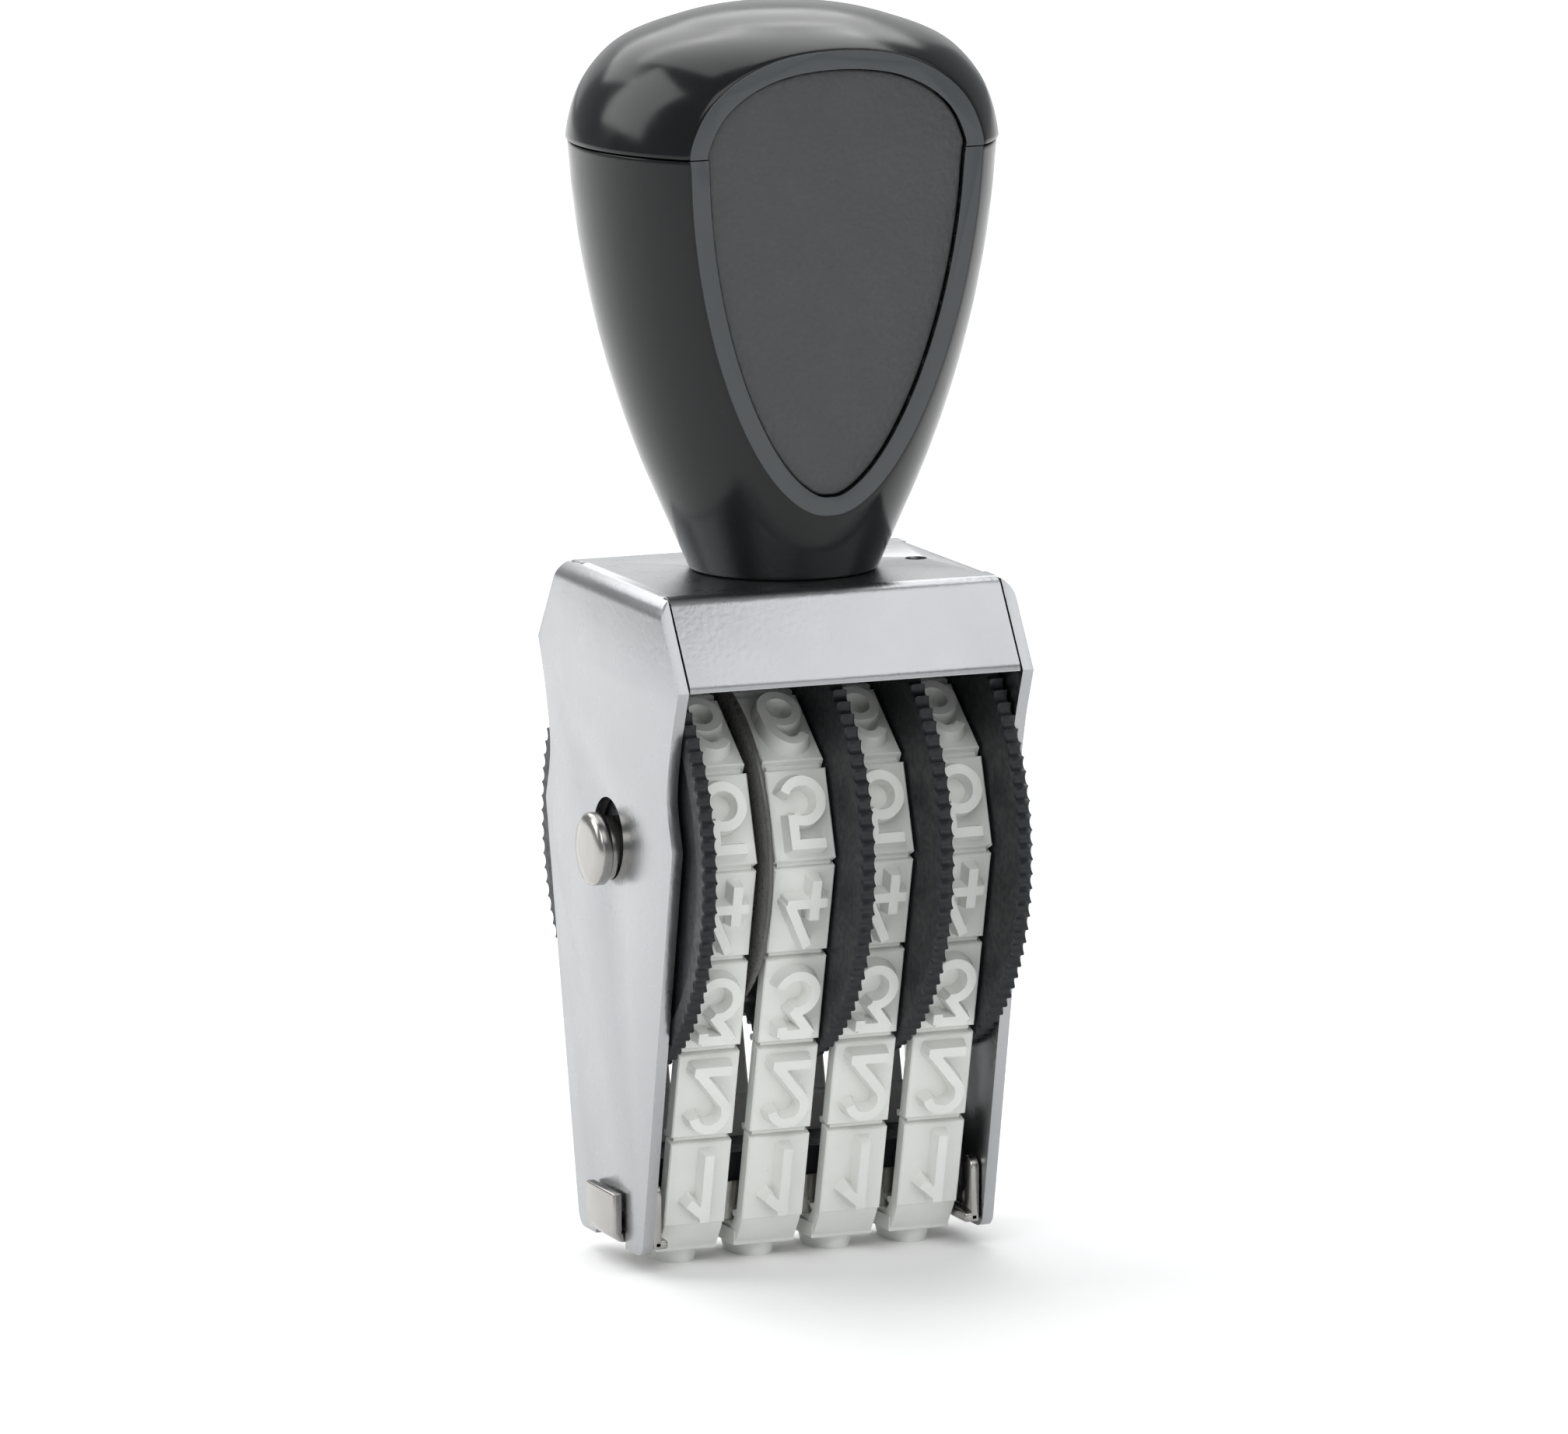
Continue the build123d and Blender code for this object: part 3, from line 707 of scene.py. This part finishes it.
def arc(cx, cy, radius_x, radius_y, start, sweep):
    """Curved stroke along part of an oval, angles in degrees, as short straight pieces."""
    steps = max(8, int(abs(sweep) / 9))
    points = []
    for step in range(steps + 1):
        angle = math.radians(start + sweep * step / steps)
        points.append((cx + radius_x * math.cos(angle), cy + radius_y * math.sin(angle)))
    pieces = []
    overlap = 0.06
    for index, (first, second) in enumerate(zip(points, points[1:])):
        start_cap = overlap if index else 0.0
        end_cap = overlap if index < steps - 1 else 0.0
        pieces.append(line(*first, *second, start_cap, end_cap))
    return lambda px, py: np.minimum.reduce([piece(px, py) for piece in pieces])


TOP, BOTTOM, SIDE = 3.85, -3.85, 2.1
HALF = STROKE / 2


def character_strokes():
    """Strokes of every character, upright and readable, in band order from the foot."""
    six = [arc(0.05, -1.55, 2.15, 2.3, 0, 360), arc(0.35, -0.35, 2.45, 4.2, 186, -138)]
    nine = [arc(-0.05, 1.55, 2.15, 2.3, 0, 360), arc(-0.35, 0.35, 2.45, 4.2, 6, -138)]
    return [
        [arc(0, 0, SIDE, 3.85, 0, 360)],
        [line(0.55, BOTTOM, 0.55, TOP, HALF, HALF), line(0.7, TOP, -1.5, 1.9, 0.2, 0.2)],
        [
            arc(0, 1.75, SIDE, SIDE, -38, 203),
            line(1.65, 0.46, -1.95, BOTTOM, 0.0, 0.2),
            line(-SIDE - 0.2, BOTTOM, SIDE, BOTTOM, 0.1, 0.3),
        ],
        [
            line(-1.9, TOP, 1.9, TOP, 0.1, 0.2),
            line(1.9, TOP, -0.5, 0.75, 0.2, 0.2),
            arc(-0.15, -1.5, 2.35, 2.35, 98, -258),
            line(-1.75, TOP, -1.75, 2.9, 0.3, 0.1),
        ],
        [
            line(0.35, TOP, -2.25, -1.5, 0.4, 0.2),
            line(-2.35, -1.5, 2.3, -1.5, 0.2, 0.3),
            line(1.05, 0.7, 1.05, BOTTOM, 0.0, HALF),
        ],
        [
            line(-1.7, TOP, 1.9, TOP, HALF, 0.3),
            line(-1.7, TOP, -1.7, 0.35, 0.0, 0.1),
            arc(-0.25, -1.45, 2.4, 2.45, 128, -282),
        ],
        six,
        [line(-SIDE, TOP, SIDE, TOP, 0.3, 0.3), line(SIDE, TOP, -0.8, BOTTOM, 0.2, HALF)],
        [arc(0, 1.95, 1.85, 1.9, 0, 360), arc(0, -1.75, 2.15, 2.15, 0, 360)],
        nine,
        [line(-1.8, 0, 1.8, 0)],
        [line(-1.6, BOTTOM, 1.6, TOP)],
        [line(-0.35, BOTTOM + 0.3, 0.35, BOTTOM + 0.3, 0.2, 0.2)],
        [],
    ]


def clearance(strokes, x, y):
    """Distance outside the mirrored strokes, measured on the tile's face."""
    if not strokes:
        return np.full_like(x, TILE_LENGTH)
    return np.minimum.reduce([stroke(x, -y) for stroke in strokes])


def character_relief(strokes, half_x, half_y, columns, rows):
    """Grid of points over the tile's face, drawn onto the top and foot of each stroke."""
    xs = np.linspace(-half_x, half_x, columns + 1)
    ys = np.linspace(-half_y, half_y, rows + 1)
    px, py = np.meshgrid(xs, ys, indexing="xy")
    inner = np.zeros_like(px, dtype=bool)
    inner[1:-1, 1:-1] = True
    probe = 0.01
    for level in (0.0, DRAFT):
        gap = clearance(strokes, px, py) - level
        ahead, behind = clearance(strokes, px + probe, py), clearance(strokes, px - probe, py)
        slope_x = (ahead - behind) / (2 * probe)
        ahead, behind = clearance(strokes, px, py + probe), clearance(strokes, px, py - probe)
        slope_y = (ahead - behind) / (2 * probe)
        steep = np.hypot(slope_x, slope_y) > 0.97
        near = inner & steep & (np.abs(gap) < CELL * 0.52)
        px = np.where(near, px - gap * slope_x, px)
        py = np.where(near, py - gap * slope_y, py)
    pz = RELIEF * np.clip(1 - clearance(strokes, px, py) / DRAFT, 0, 1)
    return np.stack([px, py, pz], axis=-1).reshape(-1, 3).tolist()


def tile_mesh(strokes):
    """One tile in its own frame: x across, y along the band, z outward, type mirrored."""
    half_x, half_y = TILE_WIDTH / 2 - TILE_CHAMFER, TILE_LENGTH / 2 - TILE_CHAMFER
    columns, rows = int(2 * half_x / CELL), int(2 * half_y / CELL)
    verts = character_relief(strokes, half_x, half_y, columns, rows)
    width = columns + 1
    faces = []
    for row in range(rows):
        for column in range(columns):
            start = row * width + column
            faces.append((start, start + 1, start + 1 + width, start + width))
    rim = list(range(width))
    rim += [row * width + columns for row in range(1, rows + 1)]
    rim += [rows * width + column for column in range(columns - 1, -1, -1)]
    rim += [row * width for row in range(rows - 1, 0, -1)]
    depth = TILE_THICKNESS - WEB_THICKNESS * 0.6
    upper = rim
    for spread, drop in ((0.0, TILE_CHAMFER), (TILE_FLARE, depth)):
        grow_x = 1 + TILE_CHAMFER / half_x
        grow_y = 1 + (TILE_CHAMFER + spread) / half_y
        lower = list(range(len(verts), len(verts) + len(rim)))
        verts += [[verts[index][0] * grow_x, verts[index][1] * grow_y, -drop] for index in rim]
        for index in range(len(rim)):
            following = (index + 1) % len(rim)
            faces.append((upper[following], upper[index], lower[index], lower[following]))
        upper = lower
    faces.append(tuple(upper))
    work = bmesh.new()
    made = [work.verts.new(vert) for vert in verts]
    for face in faces:
        work.faces.new([made[index] for index in face])
    bmesh.ops.recalc_face_normals(work, faces=work.faces)
    flat = math.radians(1.5)
    bmesh.ops.dissolve_limit(work, angle_limit=flat, verts=work.verts, edges=work.edges)
    bmesh.ops.triangulate(work, faces=[face for face in work.faces if len(face.verts) > 4])
    return work


def ridge(centre, half_width, radius):
    """Round ridge across the band."""
    forward, up = centre
    outline = circle_points(radius, 10, (-forward, up))
    return prism("ridge", outline, "x", -half_width, half_width)


def corner_wedge(ends, facing):
    """Full-width bevel that joins the printing tile to its neighbour round a corner."""
    start, end = Vector(ends[0]), Vector(ends[1])
    across = Vector((-facing.y, facing.x))
    if (end - start).dot(across) < 0:
        across = -across
    shallow, deep, overlap = 0.35, 2.4, 0.3
    corners = [
        (0.0, shallow, -overlap),
        (0.22, 0.1, 0.0),
        (0.78, 0.1, 0.0),
        (1.0, shallow, overlap),
        (1.0, deep, overlap),
        (0.0, deep, -overlap),
    ]
    outline = []
    for share, sink, reach in corners:
        point = start.lerp(end, share) - facing * sink + across * reach
        outline.append((-point.x, point.y))
    made = prism("wedge", outline, "x", -TILE_WIDTH / 2 + 0.1, TILE_WIDTH / 2 - 0.1)
    return bevel(made, 0.15, 2, 20)


def band_web(places):
    """Thin closed strip under the tiles."""
    facets = [places[0]] + places[4:11]
    outer, inner = [], []
    for index, facet in enumerate(facets):
        following = facets[(index + 1) % len(facets)]
        outer.append(meeting_point(facet, following, TILE_THICKNESS - WEB_THICKNESS))
        inner.append(meeting_point(facet, following, TILE_THICKNESS))
    count = len(outer)
    verts, faces = [], []
    for x in (-WEB_WIDTH / 2, WEB_WIDTH / 2):
        for ring in (outer, inner):
            verts += [(x, y, z) for y, z in ring]
    for index in range(count):
        following = (index + 1) % count
        a0, a1, b0, b1 = index, following, index + count, following + count
        c0, c1 = a0 + 2 * count, a1 + 2 * count
        d0, d1 = b0 + 2 * count, b1 + 2 * count
        faces += [(a0, a1, b1, b0), (c0, d0, d1, c1), (a0, c0, c1, a1), (b0, b1, d1, d0)]
    return bevel(new_object("web", verts, faces), 0.5, 3, 20)


def band_joints(places):
    """Ridges in the groove and under it between each two tiles, and the two foot bevels."""
    pieces = []
    for index, (centre, normal) in enumerate(places):
        following_centre, following_normal = places[(index + 1) % len(places)]
        ends = []
        for middle, facing, sign in ((centre, normal, 1), (following_centre, following_normal, -1)):
            reach = sign * TILE_LENGTH / 2
            ends.append((middle[0] - facing[1] * reach, middle[1] + facing[0] * reach))
        between = ((ends[0][0] + ends[1][0]) / 2, (ends[0][1] + ends[1][1]) / 2)
        facing = Vector((normal[0] + following_normal[0], normal[1] + following_normal[1]))
        facing.normalize()
        if index in (0, len(places) - 1):
            pieces.append(corner_wedge(ends, facing))
        for depth, trim in ((1.0, -0.2), (2.75, 0.15)):
            spot = (between[0] - facing.x * depth, between[1] - facing.y * depth)
            pieces.append(ridge(spot, WEB_WIDTH / 2 + trim, RIDGE_RADIUS))
    return pieces


def placed_tile(strokes, centre, normal):
    """One tile moved to its place in the loop."""
    work = tile_mesh(strokes)
    outward = Vector((0, -normal[0], normal[1]))
    across = Vector((1, 0, 0))
    along = outward.cross(across)
    turn = Matrix((across, along, outward)).transposed().to_4x4()
    place = Matrix.Translation((0, -centre[0], centre[1])) @ turn
    bmesh.ops.transform(work, matrix=place, verts=work.verts)
    return from_bmesh("tile", work)


def rubber_band():
    """One endless band in the middle of the frame: web, ridges, tiles and characters."""
    places = tile_places()
    pieces = [band_web(places)] + band_joints(places)
    for strokes, (centre, normal) in zip(character_strokes(), places):
        pieces.append(placed_tile(strokes, centre, normal))
    return join("band_master", pieces)


def rubber_bands(material):
    """Four equal bands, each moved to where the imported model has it."""
    master = rubber_band()
    for index in range(1, 5):
        low, high = box_mm(f"band_{index}")
        made = add_object(f"band_{index}_rubber", master.data.copy())
        made.data.transform(Matrix.Translation(((low[0] + high[0]) / 2 * MM, 0, 0)))
        hand_over(made, material, "band_rubber", "stamp", f"band_{index}", sharp_degrees=30)
    bpy.data.objects.remove(master)


# ------------------------------------------------------------------ anvil

ANVIL_SHEET = 1.2
ANVIL_BOTTOM = 4.75
ANVIL_HALF_WIDTH = 4.5
ANVIL_HALF_LENGTH = 19.3
FLANGE_TOP = 10.0
STRAP_BOTTOM = 3.2
STRAP_START = 19.0
EAR_GAP = 0.25
EAR_TOP = 9.3
EAR_BEND = 1.5
TAB_CENTRE = 8.8
TAB_HALF_WIDTH = 1.5
TAB_TOP = 11.3


def channel_section():
    """Section of the channel as (y, z): flat web with a leaning flange on each side."""
    lean = math.radians(RUN_LEAN)
    inset = ANVIL_SHEET / math.cos(lean)
    top = ANVIL_HALF_WIDTH + (FLANGE_TOP - ANVIL_BOTTOM) * math.tan(lean)
    floor = ANVIL_HALF_WIDTH - inset * 0.75
    return [
        (-top, FLANGE_TOP),
        (-ANVIL_HALF_WIDTH, ANVIL_BOTTOM),
        (ANVIL_HALF_WIDTH, ANVIL_BOTTOM),
        (top, FLANGE_TOP),
        (top - inset, FLANGE_TOP),
        (floor, ANVIL_BOTTOM + ANVIL_SHEET),
        (-floor, ANVIL_BOTTOM + ANVIL_SHEET),
        (-top + inset, FLANGE_TOP),
    ]


def folded_ear(side):
    """Strap that runs out through the side plate's notch and folds up outside it."""
    inner = PLATE_X + EAR_GAP
    outer = inner + ANVIL_SHEET
    strap_top = STRAP_BOTTOM + ANVIL_SHEET
    hook = [(STRAP_START, strap_top), (STRAP_START, STRAP_BOTTOM)]
    hook += arc_points((outer - EAR_BEND, STRAP_BOTTOM + EAR_BEND), EAR_BEND, -90, 0, 6)
    hook += [(outer, EAR_TOP), (inner, EAR_TOP), (inner, strap_top)]
    outline = [(side * x, z) for x, z in hook]
    return bevel(prism("ear", outline, "y", -EAR_HALF_WIDTH, EAR_HALF_WIDTH), 0.25, 3)


def end_tabs(side, wall):
    """Round-topped tabs that stand against the inside of one side plate."""
    pieces = []
    low = STRAP_BOTTOM + 0.1
    for end in FRONT_AND_REAR:
        middle = end * TAB_CENTRE
        outline = [(middle - TAB_HALF_WIDTH, low), (middle + TAB_HALF_WIDTH, low)]
        outline += arc_points((middle, TAB_TOP - TAB_HALF_WIDTH), TAB_HALF_WIDTH, 0, 180, 12)
        span = sorted((side * (wall - 1.1), side * wall))
        pieces.append(bevel(prism("tab", outline, "x", *span), 0.2, 2))
    return pieces


def channel_shape(material):
    """Bent channel under the bands with its folded ears and inner tabs."""
    channel = prism("channel", channel_section(), "x", -ANVIL_HALF_LENGTH, ANVIL_HALF_LENGTH)
    pieces = [bevel(channel, 0.35, 3)]
    wall = PLATE_X - SHEET - 0.2
    for side in LEFT_AND_RIGHT:
        pieces.append(folded_ear(side))
        foot = block("foot", (side * 19.45, side * wall), (-10.3, 10.3), (3.2, 4.4))
        jog_span = (-ANVIL_HALF_WIDTH, ANVIL_HALF_WIDTH)
        jog = block("jog", (side * STRAP_START, side * 20.6), jog_span, (3.3, 5.9))
        pieces += [bevel(foot, 0.4, 3), bevel(jog, 0.25, 2)]
        pieces += end_tabs(side, wall)
    made = join("anvil_strap", pieces)
    return hand_over(made, material, "bright_steel", "stamp", "anvil_channel")


# ------------------------------------------------------------------ handle

FLAT_DEPTH = 17.8
FLAT_TILT = math.radians(3.55)
RING_WIDTH = 2.35
RING_RISE = 0.45
BADGE_THICKNESS = 1.3
BADGE_GAP = 0.14
SEAM_GAP = 0.15
CREASE = 0.3
ABOVE = 3.0


def body_radius(rise):
    """Radius of the round handle body at a rise above the top plate."""
    points = [(0, 11.4), (7.1, 14.55), (14.3, 17.6), (22, 20.3), (30.3, 22.6), (38, 24.2)]
    points += [(45.5, 25.3), (SEAM_Z - HANDLE_BASE, BODY_RADIUS)]
    return through_points(points, rise)


def cap_curve():
    """Profile of the domed cap as (radius, rise) points, from the seam to the top."""
    seam, top = SEAM_Z - HANDLE_BASE, HANDLE_TOP - HANDLE_BASE
    knots = [(CAP_RADIUS, seam), (24.2, 59.6), (20.9, 63.6), (13.0, 67.2), (0, top)]
    travel = np.concatenate([[0], np.cumsum(np.hypot(*np.diff(np.array(knots), axis=0).T))])
    ends = ((-0.12, 1.0), (-1.0, 0.0))
    curve = []
    slopes = np.gradient(np.array(knots), travel, axis=0)
    slopes[0], slopes[-1] = ends
    for index in range(len(knots) - 1):
        span = travel[index + 1] - travel[index]
        first, second = np.array(knots[index]), np.array(knots[index + 1])
        for t in np.linspace(0, 1, 24, endpoint=False):
            point = first * (1 + 2 * t) * (1 - t) ** 2 + slopes[index] * span * t * (1 - t) ** 2
            point = point + second * t**2 * (3 - 2 * t)
            curve.append(point + slopes[index + 1] * span * t**2 * (t - 1))
    curve.append(np.array([0.02, top]))
    return np.array(curve)


def cap_radius(rise):
    """Radius of the domed cap at a rise above the top plate."""
    curve = cap_curve()
    return np.interp(rise, curve[:, 1], curve[:, 0])


def flat_depth(rise):
    """How far forward the slightly tilted front face lies at a rise."""
    seam = SEAM_Z - HANDLE_BASE
    return FLAT_DEPTH + (rise - seam) * math.tan(FLAT_TILT)


def soft_clip(value, limit):
    """Value held under a limit with a rounded shoulder."""
    difference = value - limit
    return limit + 0.5 * (difference - np.sqrt(difference**2 + CREASE**2))


def handle_piece(name, rises, radius_of):
    """Round body flattened front and rear, as one closed mesh."""
    around = 540
    angles = np.linspace(0, 2 * np.pi, around, endpoint=False)
    verts = []
    for rise, shrink in rises:
        radius = float(radius_of(np.array([rise]))[0]) - shrink
        x = radius * np.cos(angles)
        y = radius * np.sin(angles)
        limit = float(flat_depth(rise)) - shrink
        y = np.sign(y) * soft_clip(np.abs(y), limit)
        z = np.full_like(x, HANDLE_BASE + rise)
        verts += np.stack([x, y, z], axis=-1).tolist()
    faces = []
    for row in range(len(rises) - 1):
        for step in range(around):
            following = (step + 1) % around
            low, high = row * around, (row + 1) * around
            faces.append((low + step, low + following, high + following, high + step))
    faces.append(tuple(reversed(range(around))))
    last = (len(rises) - 1) * around
    faces.append(tuple(range(last, last + around)))
    return new_object(name, verts, faces)


def crease_outline(inset):
    """Outline on the tilted face at a set distance inside its crease, as (x, up the face)."""
    seam = SEAM_Z - HANDLE_BASE
    rises = np.concatenate([np.linspace(0, seam, 240), np.linspace(seam, 68.9, 160)[1:]])
    radius = np.where(rises <= seam, body_radius(rises), cap_radius(rises))
    room = radius**2 - flat_depth(rises) ** 2
    inside = room > 0
    rises, half = rises[inside], np.sqrt(room[inside])
    slope = 1 / math.cos(FLAT_TILT)
    right = np.stack([half, (rises - seam) * slope], axis=-1)
    left = np.stack([-half, (rises - seam) * slope], axis=-1)[::-1]
    loop = np.concatenate([right, left])
    closed = np.concatenate([loop, loop[:1]])
    steps = np.hypot(*np.diff(closed, axis=0).T)
    travel = np.concatenate([[0], np.cumsum(steps)])
    even = np.linspace(0, travel[-1], 361)[:-1]
    loop = np.stack([np.interp(even, travel, closed[:, axis]) for axis in (0, 1)], axis=-1)
    ahead, behind = np.roll(loop, -3, axis=0), np.roll(loop, 3, axis=0)
    tangent = ahead - behind
    tangent /= np.linalg.norm(tangent, axis=1, keepdims=True)
    normal = np.stack([-tangent[:, 1], tangent[:, 0]], axis=-1)
    loop = loop + normal * inset
    for _ in range(6):
        loop = (np.roll(loop, 1, axis=0) + loop * 2 + np.roll(loop, -1, axis=0)) / 4
    return loop.tolist()


def face_matrix(side, sink):
    """Places an outline drawn flat onto the front (-1) or rear (1) face, sunk inward."""
    outward = Vector((0, side * math.cos(FLAT_TILT), -math.sin(FLAT_TILT)))
    up = Vector((0, side * math.sin(FLAT_TILT), math.cos(FLAT_TILT)))
    across = up.cross(outward)
    turn = Matrix((across, up, outward)).transposed().to_4x4()
    origin = Vector((0, side * FLAT_DEPTH, SEAM_Z)) - outward * sink
    return Matrix.Translation(origin * MM) @ turn


def badge_slab(name, side, inset, sink, thickness):
    """Slab with the badge's outline, its outer face sunk below the flat."""
    made = prism(name, crease_outline(inset), "z", -thickness, 0)
    made.data.transform(face_matrix(side, sink))
    return made


def dome_rises():
    """Rises through the cap, spaced as its profile turns over."""
    seam = SEAM_Z - HANDLE_BASE
    rows = [(seam, 0.3), (seam + 0.05, 0.1), (seam + 0.2, 0.0)]
    return rows + [(float(rise), 0.0) for _, rise in cap_curve()[2:]]


def handle(plastic, badge_finish):
    """Body and cap with the badge pockets, the rings round them and the grained plaques."""
    seam = BODY_HIGH[2] - HANDLE_BASE
    rises = [(0.0, 0.3), (0.12, 0.08), (0.35, 0.0)]
    rises += [(0.35 + (seam - 0.6) * step / 150, 0.0) for step in range(1, 151)]
    rises += [(seam - 0.1, 0.06), (seam, 0.3)]
    body = handle_piece("handle_body_moulding", rises, body_radius)
    cap = handle_piece("handle_cap_moulding", dome_rises(), cap_radius)
    pocket_depth = BADGE_THICKNESS + RING_RISE
    for made in (body, cap):
        cutters = []
        for side in FRONT_AND_REAR:
            cutters.append(badge_slab("pocket", side, RING_WIDTH, -ABOVE, pocket_depth + ABOVE))
        cut(made, cutters)
    hand_over(body, plastic, "handle_plastic", "stamp", "handle_body", sharp_degrees=40)
    hand_over(cap, plastic, "handle_plastic", "stamp", "handle_cap", sharp_degrees=40)
    # The ring is the same black plastic as the handle. Its lighter base colour (0.05-0.06 against
    # the body's 0.006-0.008) is painted sheen, standing in for the reflection off its bevelled
    # face.
    ring_painted_sheen_finish = handle_plastic("ring_painted_sheen_plastic", 0.05, 0.06, 0.5)
    for side, end in ((-1, "front"), (1, "rear")):
        ring = badge_slab(f"{end}_ring", side, 0.12, -0.14, 1.0)
        opening = badge_slab("opening", side, RING_WIDTH, -ABOVE, 2 * ABOVE)
        across = (-BEYOND, BEYOND)
        seam_gap = block("seam_gap", across, across, (SEAM_Z - SEAM_GAP, SEAM_Z))
        cut(ring, [opening, seam_gap])
        bevel(ring, 0.22, 3, 40)
        hand_over(ring, ring_painted_sheen_finish, "handle_plastic", "stamp", sharp_degrees=40)
        inset = RING_WIDTH + BADGE_GAP
        plaque = badge_slab(f"{end}_badge_plaque", side, inset, RING_RISE, BADGE_THICKNESS)
        bevel(plaque, 0.3, 3, 50)
        hand_over(plaque, badge_finish, "badge_plastic", "stamp", f"{end}_badge", sharp_degrees=40)


# ------------------------------------------------------------------ stage

FLOOR_HALF_SIZE = 8000


def make_camera():
    """Long lens from the front left, a little above."""
    azimuth, elevation, roll = (math.radians(a) for a in (-21.889, 9.846, -0.211))
    target, distance = Vector((0, 0, 0.0657)), 1.4733
    back = Vector(
        (
            math.sin(azimuth) * math.cos(elevation),
            -math.cos(azimuth) * math.cos(elevation),
            math.sin(elevation),
        )
    )
    right = Vector((math.cos(azimuth), math.sin(azimuth), 0))
    up = back.cross(right)
    rolled_right = right * math.cos(roll) + up * math.sin(roll)
    rolled_up = up * math.cos(roll) - right * math.sin(roll)
    data = bpy.data.cameras.new("camera")
    data.lens, data.sensor_width = 278.1, 36.0
    data.clip_end = 50
    camera = add_object("camera", data)
    rotation = Matrix((rolled_right, rolled_up, back)).transposed().to_4x4()
    camera.matrix_world = Matrix.Translation(target + back * distance) @ rotation
    bpy.context.scene.camera = camera


def softbox(name, place, aim, size, power):
    """Rectangular soft light aimed at a point."""
    data = bpy.data.lights.new(name, "AREA")
    data.shape = "RECTANGLE"
    data.size, data.size_y = size
    data.energy = power
    light = add_object(name, data)
    turn = (Vector(aim) - Vector(place)).to_track_quat("-Z", "Y").to_matrix().to_4x4()
    light.matrix_world = Matrix.Translation(place) @ turn


def make_stage():
    """Pale floor, soft lights and a dim even surround."""
    corners = [(-1, -1), (1, -1), (1, 1), (-1, 1)]
    verts = [(FLOOR_HALF_SIZE * x, FLOOR_HALF_SIZE * y, 0) for x, y in corners]
    floor = new_object("floor", verts, [(0, 1, 2, 3)])
    floor.data.materials.append(floor_paper())
    world = bpy.data.worlds.new("surround")
    bpy.context.scene.world = world
    world.use_nodes = True
    world.node_tree.nodes["Background"].inputs["Color"].default_value = (0.96, 0.98, 1.0, 1)
    world.node_tree.nodes["Background"].inputs["Strength"].default_value = 0.3
    softbox("overhead", (0.15, 0.75, 1.25), (0.15, 0.7, 0), (1.4, 1.3), 13)
    softbox("far_overhead", (0.2, 2.9, 1.7), (0.2, 2.9, 0), (3.4, 2.4), 50)
    softbox("back_wall", (0.7, 2.6, 0.75), (0, 0, 0.1), (2.4, 1.2), 4)
    softbox("cheek", (-0.74, 0.42, 0.62), (0, 0, 0.14), (0.62, 0.72), 4.5)
    softbox("lip_panel", (0.55, -0.55, 0.95), (0, 0, 0.08), (1.2, 0.6), 3.2)
    softbox("key", (-0.62, -1.0, 1.15), (0, 0, 0.06), (1.1, 0.9), 8)
    softbox("front_wall", (0.9, -2.7, 0.55), (0, 0, 0.1), (2.4, 1.0), 6.5)
    bpy.context.scene.view_settings.view_transform = "Standard"


# ------------------------------------------------------------------ assembly

make_camera()
make_stage()
plated, bright = plated_steel(), bright_steel()
black_wheel, black_handle = wheel_plastic(), handle_plastic()
frame_sheet(plated)
axle_pin(bright)
for wheel_index in range(1, 5):
    thumb_wheel(wheel_index, black_wheel)
separator(disc_plastic())
rubber_bands(band_rubber())
channel_shape(bright)
handle(black_handle, badge_plastic())
for node, finish_material in (
    ("anvil_core", black_wheel),
    ("handle_boss", turned_brass()),
    ("handle_screw", bright),
    ("screw_washer", bright),
):
    for material_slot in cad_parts[node].material_slots:
        material_slot.material = finish_material
